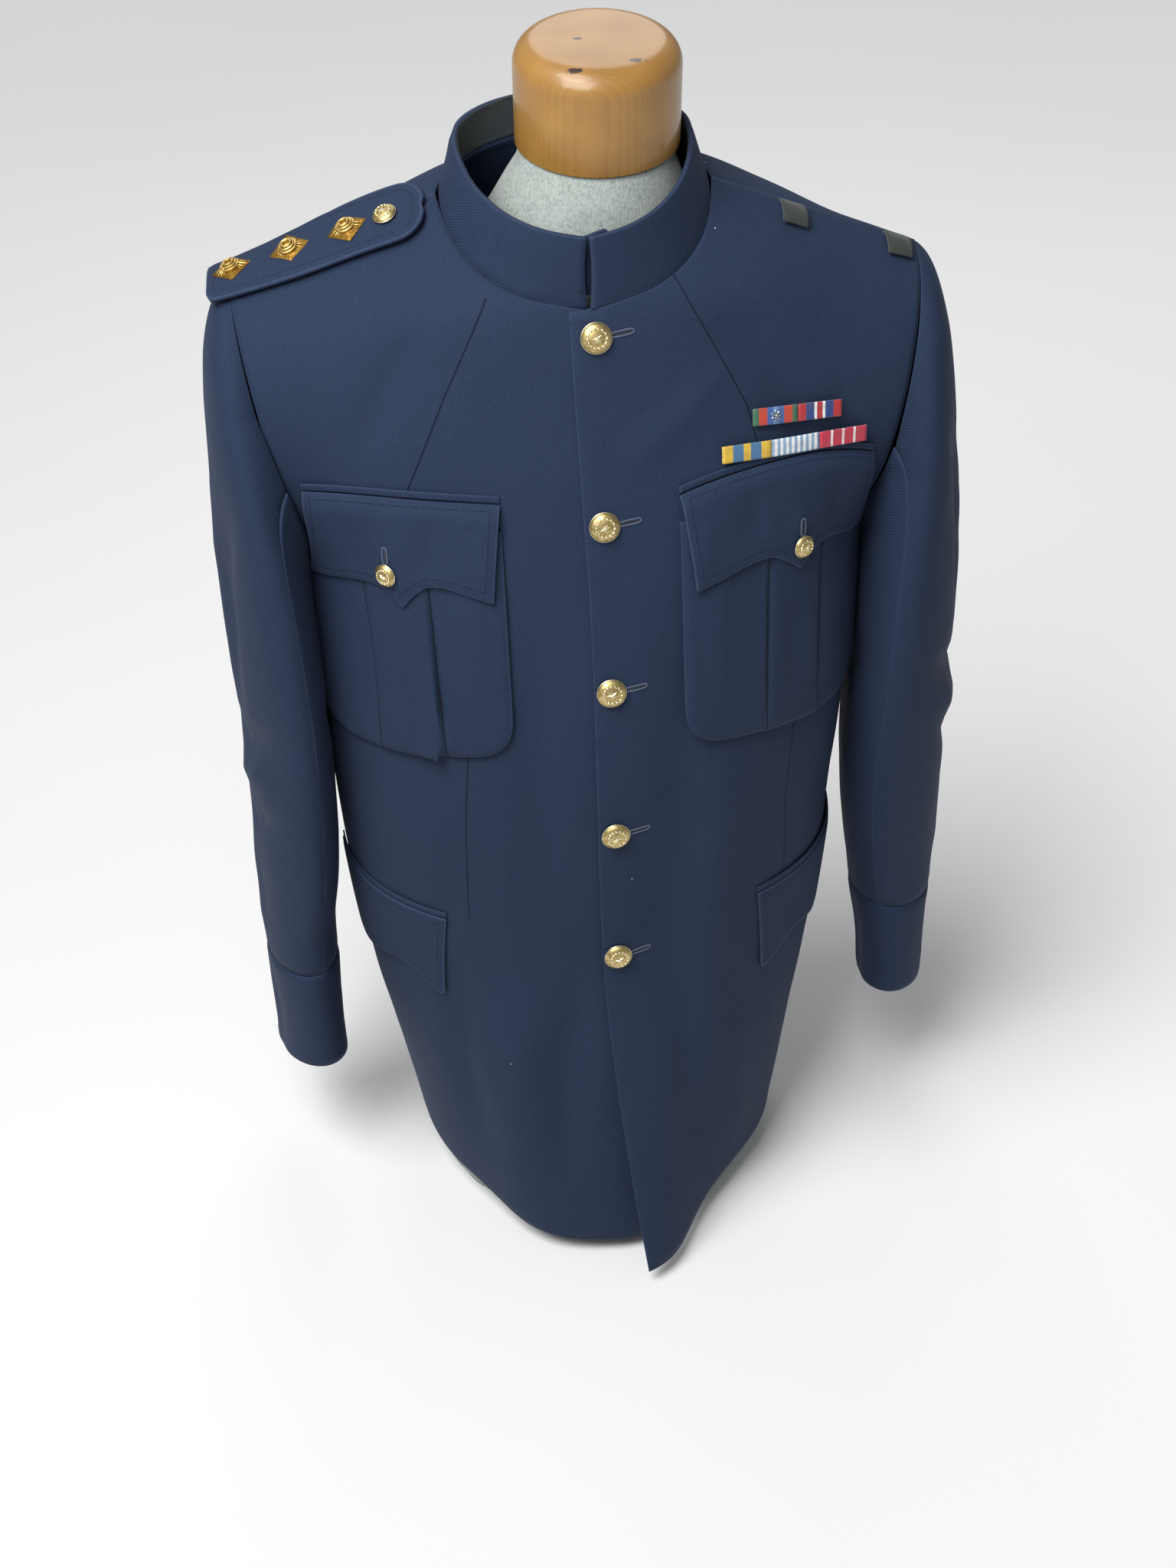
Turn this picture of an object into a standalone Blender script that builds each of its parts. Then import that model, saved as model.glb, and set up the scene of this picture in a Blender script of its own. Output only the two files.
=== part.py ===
"""Military dress tunic, worn over a limbless dress form.

Lengths below are in millimetres and are turned to metres where a mesh is made. The front faces -Y, up is +Z,
the wearer's right is -X and the wearer's left is +X. The origin is on the surface under the form.
The body of the tunic is one smooth surface, read at a place across (0 at the centre front or back, 1 at the side
seam or armhole) and at a level (0 at the hem, ARM_LEVEL at the armpit, TOP_LEVEL at the shoulder seam). Panels are
cut from it, and the pockets, flaps, ribbons and buttons are laid on the panels' own points, moved out.
"""
import math
from collections import namedtuple

import bmesh
import bpy
from mathutils import Vector

MM = 0.001

# cloth
CLOTH = 2.0             # wall of the body and sleeves: cloth and its interlining
PATCH = 1.4             # wall of a pocket or flap
SEAM = 0.4              # gap between two pieces at a seam
LIFT = 0.7              # gap under a piece that lies on a panel
EDGE_ACROSS = 0.94      # past this a panel's normal is read here, because its rows close up at the armpit

# body
ARM_STEPS = 10          # rows from the armpit to the shoulder seam
NECK_STEPS = 4          # of those rows, the ones that start on the neckline
FULLNESS = 0.60         # how round the panels are between the centre line and the side
HEM_FULLNESS = 0.52
ARMPIT_X, ARMPIT_Z = 190.0, 556.0
TIP_X, TIP_Z = 222.0, 738.0
ARMHOLE_FRONT, ARMHOLE_BACK = 63.0, 66.0
NECK_X, NECK_Z = 88.0, 788.0
NECK_FRONT, NECK_BACK = 80.0, 62.0
NECK_DROP, NECK_RISE = 51.0, 14.0
NECK_SQUARE, NECK_DIP = 0.88, 1.1

Level = namedtuple("Level", "front_z side_z half_width front back")
SKIRT = [
    Level(14, 36, 145, -176, 118),
    Level(70, 84, 153, -169, 114),
    Level(135, 140, 163, -161, 110),
    Level(205, 205, 174, -152, 105),
    Level(275, 272, 181.5, -145, 101),
    Level(340, 338, 186, -146, 100),
    Level(405, 402, 189.5, -147, 106),
    Level(465, 460, 192, -141, 114),
    Level(520, 512, 192, -131, 122),
    Level(562, ARMPIT_Z, ARMPIT_X, -122, 128),
]
ARM_LEVEL = len(SKIRT) - 1
TOP_LEVEL = ARM_LEVEL + ARM_STEPS
PIT_LEVEL = TOP_LEVEL - NECK_STEPS

Centre = namedtuple("Centre", "front_z front back_z back")
CHEST = [               # centre lines from the armpit's level to the foot of the collar, a row for each level
    Centre(562, -122, ARMPIT_Z, 128),
    Centre(575, -119, 575, 129),
    Centre(592, -115, 598, 129),
    Centre(617, -109, 630, 127),
    Centre(648, -102, 675, 119),
    Centre(688, -92, 735, 100),
    Centre(737, -NECK_FRONT, NECK_Z + NECK_RISE, NECK_BACK),
]

# fastening: the wearer's left front laps over the right one
OVERLAP_HEM, OVERLAP_NECK = 2.0, 12.0   # how far the left front runs past the centre line
UNDERLAP = 28.0         # how far the right front runs under the left one
LAP_LIFT = 2.8          # the left front stands this far off where it laps
LAP_FLAT, LAP_FADE = 0.12, 0.40
SWING_Z = 285.0         # below the last button the left front swings out
SWING = (23.0, -36.0)
SWING_FADE = 0.36
BUTTON_ZS = (720.0, 604.0, 494.0, 385.0, 278.0)
BUTTON_X = 7.0

# sleeves: a row for each ring, from the armhole to the cuff
Ring = namedtuple("Ring", "inner_x inner_z outer_x outer_z middle_y half_depth")
SLEEVE_RIGHT = [
    Ring(192.5, 552, 234, 730, 0, 71),
    Ring(195.5, 546, 243, 705, 0, 78),
    Ring(197, 538, 248, 668, 0, 84),
    Ring(197.5, 524, 250, 620, 0, 88),
    Ring(197.5, 500, 251, 565, 0, 89),
    Ring(197.5, 466, 251, 505, -1, 87),
    Ring(197, 425, 251, 445, -2, 84),
    Ring(196, 375, 251, 385, -4, 79),
    Ring(195, 320, 251, 325, -7, 73),
    Ring(196, 265, 251, 265, -10, 67),
    Ring(199, 205, 252, 202, -12, 61),
    Ring(200, 150, 253, 150, -13, 59),
    Ring(200, 108, 253, 108, -14, 57),
]
SLEEVE_LEFT = [
    Ring(192.5, 552, 234, 730, 0, 71),
    Ring(195.5, 546, 243, 705, 1, 78),
    Ring(198, 538, 250, 668, 2, 84),
    Ring(199, 524, 257, 620, 3, 88),
    Ring(200, 500, 264, 565, 4, 89),
    Ring(201, 466, 270, 505, 5, 87),
    Ring(201, 425, 274, 445, 6, 84),
    Ring(201, 375, 276, 385, 8, 79),
    Ring(201, 320, 277, 325, 9, 73),
    Ring(204, 265, 277, 265, 10, 67),
    Ring(212, 205, 277, 202, 11, 61),
    Ring(222, 150, 277, 150, 11, 59),
    Ring(224, 110, 277, 110, 12, 57),
]
SLEEVE_TURN = math.radians(13)      # a hanging sleeve turns its front towards the body
HEM_TILT, ELBOW_RING = math.radians(16), 6      # the forearm hangs forwards, so its hem is higher at the front
CUFF_RINGS = 2          # rings that belong to the cuff
UNDER_HALF = 4          # places each side of the armpit that the under sleeve takes in
CUFF_PROUD = 0.8

LEAN, LEAN_LOW, LEAN_HIGH = 4.0, 250.0, 650.0   # the tunic sits this far to its left on the form's neck

# the skirt's largest folds, worst at the hem: depth is outwards, and top is the level where the fold is gone
Fold = namedtuple("Fold", "panel across width depth top")
FOLDS = [
    Fold("right_front", 0.27, 0.13, 6, 3.5),
    Fold("right_front", 0.50, 0.14, -6, 3.0),
    Fold("left_front", 0.47, 0.14, -6, 3.0),
    Fold("left_front", 0.78, 0.15, 4, 2.6),
    Fold("back_left", 0.36, 0.16, 6, 3.2),
    Fold("back_left", 0.72, 0.15, -5, 2.4),
    Fold("back_right", 0.30, 0.14, 5, 2.6),
    Fold("back_right", 0.64, 0.17, -6, 3.4),
]

# collar
COLLAR_WALL = 3.0
COLLAR_TOP_X, COLLAR_TOP_Z = 77.0, 823.0
COLLAR_TOP_FRONT, COLLAR_TOP_BACK = 83.0, 70.0
COLLAR_TOP_DROP, COLLAR_TOP_RISE = 40.0, 5.0
COLLAR_POINTED = 1.02   # over 1, its upper edge comes to a point at the front
COLLAR_END, COLLAR_GAPE = 1.2, 1.3      # half of the gap between its ends, and how much more at mid height
COLLAR_ROWS, COLLAR_LIFT = 4, 0.6       # lift is the gap under its foot
LINING_WALL, LINING_LOW, LINING_HIGH = 0.9, 0.08, 0.95
LINING_END = 21.0       # how far short of the collar's ends the lining stops
TONGUE_WALL, TONGUE_RISE, TONGUE_GAP = 1.5, 3.5, 4.4
TONGUE_XS, TONGUE_PARTS = (-9, 0, 9, 17), (0.1, 0.55, 1.0)
TONGUE_CURVE = 0.004

# breast pockets: sizes are measured along X and Z
Pocket = namedtuple("Pocket", "side middle_x inner_x outer_x point_x button_x arch droop")
POCKETS = {
    "left": Pocket(1, 136, 56, 192, 136, 135, 11, 0),
    "right": Pocket(-1, 127, 58, 188, 122, 129, 2, 9),
}
POCKET_SIDE = 0.93      # no pocket runs further round its panel than this
POCKET_TOP, POCKET_FOOT, POCKET_FOOT_OUTER = 603.0, 450.0, 434.0
POCKET_CORNER = 20.0
PLEAT_HALF, PLEAT_PROUD, PLEAT_GAPE = 20.0, 1.6, 5.0
POCKET_ROWS, POCKET_LIFT = 7, 1.9
FLAP_TOP, FLAP_INSET = 620.0, 7.0
FLAP_PROUD = 4.8        # how far its lower part stands off, over the pocket and its pleat
FLAP_DOWNS, FLAP_BEND = (1.0, 0.75, 0.4, 0.2, 0.12, 0.0), 0.16
FLAP_PARTS = (0, 0.06, 0.12, 0.19, 0.25, 0.31, 0.36, 0.40, 0.43, 0.465, 0.50, 0.535, 0.57, 0.62, 0.66, 0.71, 0.75,
              0.81, 0.88, 0.94, 1)
WELT_HEIGHT, WELT_WALL, WELT_CLEAR = 4.5, 1.0, 0.8
FLAP_BUTTON_Z, FLAP_BUTTON_CLEAR = 571.0, 0.7
Edge = namedtuple("Edge", "part height")
FLAP_EDGE = [           # how far the flap hangs, at parts of its width from the inner corner
    Edge(0.0, 63), Edge(0.12, 58), Edge(0.25, 52), Edge(0.36, 51), Edge(0.43, 58), Edge(0.50, 67),
    Edge(0.57, 57), Edge(0.66, 52), Edge(0.75, 52), Edge(0.88, 57), Edge(1.0, 62),
]

# side pockets' flaps: across is the way round the front panel
HIP_FLAP_TOP, HIP_FLAP_START, HIP_FLAP_END = 301.0, 112.0, 0.965
HIP_EDGE = [
    Edge(0.0, 73), Edge(0.07, 73), Edge(0.2, 60), Edge(0.38, 58), Edge(0.58, 68), Edge(0.8, 75), Edge(1.0, 75),
]
HIP_SLANT, HIP_LIFT = 9.0, 1.2
HIP_PARTS = (0, 0.04, 0.1, 0.2, 0.32, 0.45, 0.58, 0.7, 0.82, 0.92, 1)
HIP_DOWNS = (1.0, 0.7, 0.4, 0.15, 0.0)

# shoulder strap with its pips, on the wearer's right
STRAP_OUTER, STRAP_INNER = (-234.0, 4.0), (-93.0, -12.0)
STRAP_HALF_OUTER, STRAP_HALF_INNER, STRAP_ROUND = 27.0, 21.0, 16.0
STRAP_WALL, STRAP_CLEAR, STRAP_PROUD = 3.0, 2.4, 2.0
SHOULDER_END_X, SHOULDER_SLOPE = -216.0, 0.3
STRAP_TRIM_CLEAR, STRAP_SAMPLE = 1.0, 6.0
STRAP_PARTS = (0, 0.15, 0.3, 0.45, 0.6, 0.75, 0.88, 0.93, 0.97, 0.99, 1.0)
STRAP_ASIDES = (-1, -0.6, -0.2, 0.2, 0.6, 1)
PIP_PARTS = (0.135, 0.404, 0.667)
STRAP_BUTTON_PART = 0.845
PIP_RADIUS = 13.4
PIP_PROFILE = [(0, 4.4), (4.0, 4.0), (5.0, 2.6), (9, 1.9), (PIP_RADIUS, 1.1), (PIP_RADIUS, 0), (0, 0)]

# tape loops on the wearer's left shoulder
LOOP_STARTS = (134.0, 203.0)
LOOP_LENGTH, LOOP_FRONT, LOOP_BACK, LOOP_HUMP = 16.0, -23.0, -5.0, 2.2
LOOP_WALL = 1.2
LOOP_PARTS = (0, 0.15, 0.4, 0.6, 0.85, 1)

# medal ribbons on the wearer's left breast
RibbonBar = namedtuple("RibbonBar", "start_x end_x start_z end_z ribbons")
RIBBON_BARS = {"upper": RibbonBar(105, 165, 661, 657, 2), "lower": RibbonBar(84, 183, 641, 637, 3)}
RIBBON_HALF, RIBBON_WALL, RIBBON_LIFT = 5.3, 1.6, 2.0
RIBBON_PARTS = (0.004, 0.25, 0.5, 0.75, 0.996)
SPRIG_CLEAR = 0.4
SPRIG_PROFILE = [(0, 0.8), (2.2, 0.6), (3.4, 0.0), (0, 0.0)]
SPRIG_SIDES = 8

# buttons
BUTTON_RADIUS, SMALL_BUTTON_RADIUS = 9.7, 7.6
BUTTON_SIDES, BUTTON_CLEAR = 14, 0.6
BUTTON_PROFILE = [      # as parts of its radius
    (0, 0.62), (0.42, 0.57), (0.78, 0.43), (0.96, 0.27), (1.0, 0.2), (0.9, 0.13), (0.22, 0.13), (0.22, 0.0), (0, 0.0),
]

# dress form: nod is how far a section leans down at the front, in degrees
Section = namedtuple("Section", "z middle_x half_width front back nod")
FORM = [
    Section(0, 0, 134, -140, 92, 0),
    Section(60, 0, 139, -143, 94, 0),
    Section(140, 0, 150, -138, 90, 0),
    Section(250, 1, 160, -126, 84, 0),
    Section(330, 2, 163, -122, 82, 0),
    Section(420, 3, 168, -124, 90, 0),
    Section(510, 4, 171, -118, 102, 0),
    Section(590, 5, 170, -100, 108, 0),
    Section(650, 5, 164, -88, 103, 0),
    Section(690, 6, 152, -76, 92, 2),
    Section(720, 8, 124, -64, 78, 4),
    Section(745, 12, 84, -54, 66, 6),
    Section(772, 16, 56, -46, 58, 8),
    Section(813.4, 19, 49, -44, 54, 10),
]
FORM_SIDES = 28
CAP_MIDDLE = (20.0, 5.0, 815.0)
CAP_RADIUS, CAP_HEIGHT, CAP_ROUND, CAP_HOLLOW = 52.0, 64.0, 15.0, 1.5
CAP_TILT = 10.0
CAP_SIDES, CAP_STEPS = 40, 6

# searches on a surface
TURNS, NEAR_ENOUGH = 40, 0.01
PROBE, LONGEST_ACROSS, LONGEST_LEVEL = 0.01, 0.1, 1.0
NORMAL_STEP = 0.004
PANEL_COLUMNS = 9
SHARP_ANGLE = math.radians(50)


# ---------------------------------------------------------------- helpers

def smooth_read(values, at):
    """A smooth curve through evenly numbered values, read at a place between them."""
    last = len(values) - 1
    low = min(max(int(math.floor(at)), 0), last - 1)
    part = at - low
    before = values[low - 1] if low > 0 else 2 * values[0] - values[1]
    after = values[low + 2] if low + 2 <= last else 2 * values[last] - values[last - 1]
    start, end = values[low], values[low + 1]
    lean_in, lean_out = (end - before) / 2, (after - start) / 2
    return (start * (2 * part**3 - 3 * part**2 + 1) + lean_in * (part**3 - 2 * part**2 + part)
            + end * (3 * part**2 - 2 * part**3) + lean_out * (part**3 - part**2))


def fade(value, start, end):
    """1 at start, falling smoothly to 0 at end."""
    part = min(max((value - start) / (end - start), 0.0), 1.0)
    return 1 - part * part * (3 - 2 * part)


def armhole(turn, back):
    """A point of the armhole: turn 0 at the armpit, pi at the shoulder tip."""
    rise = (1 - math.cos(turn)) / 2
    deep = ARMHOLE_BACK if back else -ARMHOLE_FRONT
    return Vector((ARMPIT_X + (TIP_X - ARMPIT_X) * rise, deep * math.sin(turn),
                   ARMPIT_Z + (TIP_Z - ARMPIT_Z) * rise))


def neckline(turn, back):
    """A point of the neckline: turn 0 at the centre, pi/2 where the shoulder seam starts."""
    aside, ahead = math.sin(turn), max(math.cos(turn), 0.0)
    if back:
        return Vector((NECK_X * aside, NECK_BACK * ahead, NECK_Z + NECK_RISE * ahead))
    return Vector((NECK_X * aside**NECK_SQUARE, -NECK_FRONT * ahead**NECK_SQUARE, NECK_Z - NECK_DROP * ahead**NECK_DIP))


def row_ends(level, back):
    """Where a row starts on the centre line or neckline, and where it ends at the side seam or armhole."""
    if level <= ARM_LEVEL:
        def read(name):
            return smooth_read([getattr(row, name) for row in SKIRT], level)

        start = Vector((0, read("back"), read("side_z"))) if back else Vector((0, read("front"), read("front_z")))
        return start, Vector((read("half_width"), 0, read("side_z")))
    end = armhole(math.pi * (level - ARM_LEVEL) / ARM_STEPS, back)
    if level >= PIT_LEVEL:
        return neckline(math.pi / 2 * (level - PIT_LEVEL) / NECK_STEPS, back), end
    def read(name):
        return smooth_read([getattr(row, name) for row in CHEST], level - ARM_LEVEL)

    start = Vector((0, read("back"), read("back_z"))) if back else Vector((0, read("front"), read("front_z")))
    return start, end


def body_point(across, level, back=False):
    """A point of the body's surface. Across below 0 is on the other side of the centre line."""
    if across < 0:
        point = body_point(-across, level, back)
        return Vector((-point.x, point.y, point.z))
    start, end = row_ends(level, back)
    above = max(level - ARM_LEVEL, 0) / ARM_STEPS
    outward, backward, drop = end.x - start.x, end.y - start.y, (end.z - start.z) * above**2
    full = HEM_FULLNESS + (FULLNESS - HEM_FULLNESS) * min(level / 4, 1)
    near = start + Vector((outward, backward * above**2, drop)) * full
    far = end - Vector((outward * math.cos(math.pi / 2 * (1 - above)), backward, drop)) * full
    rest = 1 - across
    return (start * rest**3 + near * (3 * rest**2 * across) + far * (3 * rest * across**2) + end * across**3)


def folded(panel, point, across, level):
    """A point of a panel's skirt, moved in or out by the folds it lies in."""
    way = Vector((point.x, point.y, 0)).normalized()
    for fold in FOLDS:
        if fold.panel == panel and level < fold.top:
            part = (across - fold.across) / fold.width
            point = point + way * (fold.depth * math.exp(-part * part) * fade(level, 0, fold.top))
    return point


def back_point(across, level, side):
    return folded("back_left" if side > 0 else "back_right", body_point(across, level, back=True), across, level)


def front_point(across, level, overlap):
    """A point of a front. The one that laps over stands off near the centre and swings out at its corner."""
    point = body_point(across, level)
    point = folded("left_front" if overlap else "right_front", point, across, level)
    if overlap:
        neck = fade(level, PIT_LEVEL, TOP_LEVEL - 1)
        point = point + front_normal(across, level) * LAP_LIFT * fade(across, LAP_FLAT, LAP_FADE) * neck
        low = max((SWING_Z - point.z) / SWING_Z, 0.0) ** 1.6 * fade(across, 0.0, SWING_FADE)
        point = point + Vector((SWING[0] * low, SWING[1] * low, 0))
    return point


def normal_of(surface, across, level, low_level=0.0, high_level=float(TOP_LEVEL)):
    """The outward unit normal of a surface read at (across, level)."""
    step = NORMAL_STEP
    if level > ARM_LEVEL:
        across, low_level = min(across, EDGE_ACROSS), max(low_level, ARM_LEVEL)
    else:
        high_level = ARM_LEVEL
    left, right = surface(across - step, level), surface(across + step, level)
    down, up = max(level - step, low_level), min(level + step, high_level)
    return (right - left).cross(surface(across, up) - surface(across, down)).normalized()


def front_normal(across, level):
    return normal_of(body_point, across, level)


def add_piece(name, mesh_builder, finish):
    """Store a bmesh in millimetres as a named object in metres."""
    mesh = bpy.data.meshes.new(name)
    bmesh.ops.scale(mesh_builder, vec=(MM, MM, MM), verts=mesh_builder.verts)
    bmesh.ops.recalc_face_normals(mesh_builder, faces=mesh_builder.faces)
    mesh_builder.to_mesh(mesh)
    mesh_builder.free()
    mesh.shade_smooth()
    mesh.set_sharp_from_angle(angle=SHARP_ANGLE)
    mesh.materials.append(finish)
    piece = bpy.data.objects.new(name, mesh)
    PIECES.objects.link(piece)
    return piece


def wall_from_grid(outer, inner, keep=lambda row, column: True, ring=False):
    """A closed wall between two grids of points. Keep says which cells of the grid are cloth."""
    builder = bmesh.new()
    rows, columns = len(outer), len(outer[0])
    cells = [(row, column) for row in range(rows - 1) for column in range(columns if ring else columns - 1)
             if keep(row, column)]
    made = {}

    def vertex(side, row, column):
        key = (side, row, column % columns)
        if key not in made:
            made[key] = builder.verts.new((outer, inner)[side][key[1]][key[2]])
        return made[key]

    present = set(cells)
    for row, column in cells:
        corners = [(row, column), (row, column + 1), (row + 1, column + 1), (row + 1, column)]
        builder.faces.new([vertex(0, *corner) for corner in corners])
        builder.faces.new([vertex(1, *corner) for corner in reversed(corners)])
        around = [(row - 1, column), (row, column + 1), (row + 1, column), (row, column - 1)]
        for side, (next_row, next_column) in enumerate(around):
            if ring:
                next_column %= columns
            if (next_row, next_column) not in present:
                first, second = corners[side], corners[(side + 1) % 4]
                builder.faces.new([vertex(0, *second), vertex(0, *first), vertex(1, *first), vertex(1, *second)])
    return builder


def pull_in(grid, edges, amount=SEAM / 2):
    """Move the named edges of a grid of points inwards, to leave half of a seam's gap."""
    steps = {"first_row": (0, None, 1, None), "last_row": (-1, None, -2, None),
             "first_column": (None, 0, None, 1), "last_column": (None, -1, None, -2)}
    for edge in edges:
        row, column, next_row, next_column = steps[edge]
        if row is not None:
            for place, point in enumerate(grid[row]):
                way = grid[next_row][place] - point
                grid[row][place] = point + way.normalized() * amount
        else:
            for line in grid:
                way = line[next_column] - line[column]
                line[column] = line[column] + way.normalized() * amount
    return grid


def finish_of(name, colour, roughness, metallic=0.0):
    material = bpy.data.materials.new(name)
    material.use_nodes = True
    shader = material.node_tree.nodes["Principled BSDF"]
    shader.inputs["Base Color"].default_value = (*colour, 1)
    shader.inputs["Roughness"].default_value = roughness
    shader.inputs["Metallic"].default_value = metallic
    return material


# ---------------------------------------------------------------- body panels

def settle(point, side):
    """The place of a point of the pattern on the form: mirrored for the right side, and leaning a little."""
    return Vector((point.x * side + LEAN * (1 - fade(point.z, LEAN_LOW, LEAN_HIGH)), point.y, point.z))


def past_centre(level, overlap):
    """How far a front runs past the centre line at a level, as a part of the way across."""
    reach = OVERLAP_HEM + (OVERLAP_NECK - OVERLAP_HEM) * level / PIT_LEVEL if overlap else UNDERLAP
    return reach / (3 * FULLNESS * ARMPIT_X)


def across_steps(low, high, count):
    return [low + (high - low) * step / count for step in range(count + 1)]


def make_front(name, side, overlap):
    """A front panel, from its edge past the centre line to the side seam, the armhole and the shoulder seam."""
    lap_columns = 1 if overlap else 2
    rows = []
    for level in range(TOP_LEVEL + 1):
        past = past_centre(level, overlap)
        rows.append(across_steps(-past, 0, lap_columns)[:-1] + across_steps(0, 1, PANEL_COLUMNS))
    def surface(across, level):
        return front_point(across, level, overlap)

    outer = [[surface(place, level) for place in places] for level, places in enumerate(rows)]
    inner = [[outer[level][column] - normal_of(surface, place, level) * CLOTH
              for column, place in enumerate(places)] for level, places in enumerate(rows)]
    for grid in (outer, inner):
        pull_in(grid, ("last_row", "last_column"))
        grid[:] = [[settle(point, side) for point in line] for line in grid]
    def keep(row, column):
        return not (column < lap_columns and row >= PIT_LEVEL)

    return add_piece(name, wall_from_grid(outer, inner, keep), CLOTH_FINISH)


def make_back(name, side):
    """A back panel, from the centre back seam to the side seam, the armhole and the shoulder seam."""
    places = across_steps(0, 1, PANEL_COLUMNS)
    def surface(across, level):
        return back_point(across, level, side)

    outer = [[surface(place, level) for place in places] for level in range(TOP_LEVEL + 1)]
    inner = [[outer[level][column] + normal_of(surface, place, level) * CLOTH
              for column, place in enumerate(places)] for level in range(TOP_LEVEL + 1)]
    for grid in (outer, inner):
        pull_in(grid, ("last_row", "first_column", "last_column"))
        grid[:] = [[settle(point, side) for point in line] for line in grid]
    return add_piece(name, wall_from_grid(outer, inner), CLOTH_FINISH)


# ---------------------------------------------------------------- sleeves

def sleeve_ring(rings, number, proud=0.0):
    """The points of one ring of a sleeve, from the armpit round by the back. Ring 0 is the armhole."""
    points = []
    for place in range(2 * ARM_STEPS):
        turn = math.pi * place / ARM_STEPS
        if number == 0:
            back = turn <= math.pi
            point = armhole(turn if back else 2 * math.pi - turn, back) + Vector((SEAM, 0, 0))
        else:
            ring = rings[number - 1]
            inner = Vector((ring.inner_x - proud, ring.middle_y, ring.inner_z))
            outer = Vector((ring.outer_x + proud, ring.middle_y, ring.outer_z))
            middle = (inner + outer) / 2
            aside, deep = (outer - inner) / 2, (ring.half_depth + proud) * math.sin(turn)
            twist = SLEEVE_TURN * min(number / len(rings), 1)
            out = -math.cos(turn)
            point = middle + aside * (out * math.cos(twist)) + Vector((0, deep * math.cos(twist), 0))
            point += Vector((deep * math.sin(twist), -aside.length * out * math.sin(twist), 0))
            tilt = HEM_TILT * (1 - fade(number, ELBOW_RING, len(rings)))
            point.z -= (point.y - ring.middle_y) * math.tan(tilt)
        points.append(point)
    return points


def sleeve_rings(rings, proud=0.0):
    """All the rings, with the point that each lies inwards of by the wall's thickness."""
    outer = [sleeve_ring(rings, number, proud) for number in range(len(rings) + 1)]
    count = 2 * ARM_STEPS
    inner = []
    for number, ring in enumerate(outer):
        above, below = outer[max(number - 1, 0)], outer[min(number + 1, len(outer) - 1)]
        line = []
        for place in range(count):
            around = ring[(place + 1) % count] - ring[place - 1]
            along = below[place] - above[place]
            line.append(ring[place] + along.cross(around).normalized() * CLOTH)
        inner.append(line)
    return outer, inner


def make_sleeve(prefix, side, rings):
    """The top sleeve, the under sleeve and the cuff of one arm."""
    outer, inner = sleeve_rings(rings)
    cuff_outer, cuff_inner = sleeve_rings(rings, CUFF_PROUD)
    def flip(point):
        return settle(point, side)

    cuff_start = len(outer) - 1 - CUFF_RINGS
    count = 2 * ARM_STEPS
    under = [place % count for place in range(-UNDER_HALF, UNDER_HALF + 1)]
    top = list(range(UNDER_HALF, count - UNDER_HALF + 1))
    for name, places in (("top_sleeve_", top), ("under_sleeve_", under)):
        walls = []
        for rows in (outer, inner):
            grid = [[flip(rows[row][place]) for place in places] for row in range(cuff_start + 1)]
            walls.append(pull_in(grid, ("last_row", "first_column", "last_column")))
        add_piece(name + prefix, wall_from_grid(*walls), CLOTH_FINISH)
    walls = []
    for rows in (cuff_outer, cuff_inner):
        grid = [[flip(point) for point in rows[row]] for row in range(cuff_start, len(outer))]
        walls.append(pull_in(grid, ("first_row",)))
    add_piece("cuff_" + prefix, wall_from_grid(*walls, ring=True), CLOTH_FINISH)


# ---------------------------------------------------------------- pieces that lie on a front

def find_place(x, other, side, axis=2, back=False):
    """The (across, level) on a panel whose point has this X, and this Z (axis 2) or Y (axis 1)."""
    def surface(u, v):
        return settle(back_point(u, v, side) if back else front_point(u, v, side > 0), side)

    across, level = min(abs(x) / ARMPIT_X, 0.9) ** 1.4, 8.0 if axis == 2 else TOP_LEVEL - 1.5
    for _ in range(TURNS):
        here = surface(across, level)
        miss = (x - here.x, other - here[axis])
        if abs(miss[0]) + abs(miss[1]) < NEAR_ENOUGH:
            break
        east = (surface(across + PROBE, level) - here) / PROBE
        north = (surface(across, level - PROBE) - here) / -PROBE
        size = east.x * north[axis] - north.x * east[axis]
        move = (miss[0] * north[axis] - north.x * miss[1]) / size
        across = max(across + max(-LONGEST_ACROSS, min(LONGEST_ACROSS, move)), -LONGEST_ACROSS / 2)
        move = (east.x * miss[1] - miss[0] * east[axis]) / size
        level += max(-LONGEST_LEVEL, min(LONGEST_LEVEL, move))
        level = max(PROBE, min(level, TOP_LEVEL - PROBE))
    return across, level


def find_level(across, z, side):
    """The level of a front where its point has this height."""
    low, high = 0.0, float(TOP_LEVEL)
    for _ in range(TURNS):
        middle = (low + high) / 2
        if front_point(across, middle, side > 0).z < z:
            low = middle
        else:
            high = middle
    return (low + high) / 2


def on_front(across, level, side, height):
    """A point of a front, moved out from its surface."""
    def surface(u, v):
        return front_point(u, v, side > 0)

    return settle(surface(across, level) + normal_of(surface, across, level) * height, side)


def front_direction(across, level, side):
    def surface(u, v):
        return front_point(u, v, side > 0)

    normal = normal_of(surface, across, level)
    return Vector((normal.x * side, normal.y, normal.z))


def read_edge(edge, part):
    """How far a flap hangs at a part of its width."""
    for low, high in zip(edge, edge[1:]):
        if part <= high.part + 1e-9:
            return low.height + (high.height - low.height) * (part - low.part) / (high.part - low.part)
    return edge[-1].height


def laid_wall(name, places, heights, wall, side, finish, keep=lambda row, column: True):
    """A wall that lies on a front: a grid of places, and how far each stands off."""
    outer = [[on_front(*place, side, height + wall) for place, height in zip(line, high)]
             for line, high in zip(places, heights)]
    inner = [[on_front(*place, side, height) for place, height in zip(line, high)]
             for line, high in zip(places, heights)]
    return add_piece(name, wall_from_grid(outer, inner, keep), finish)


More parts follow.
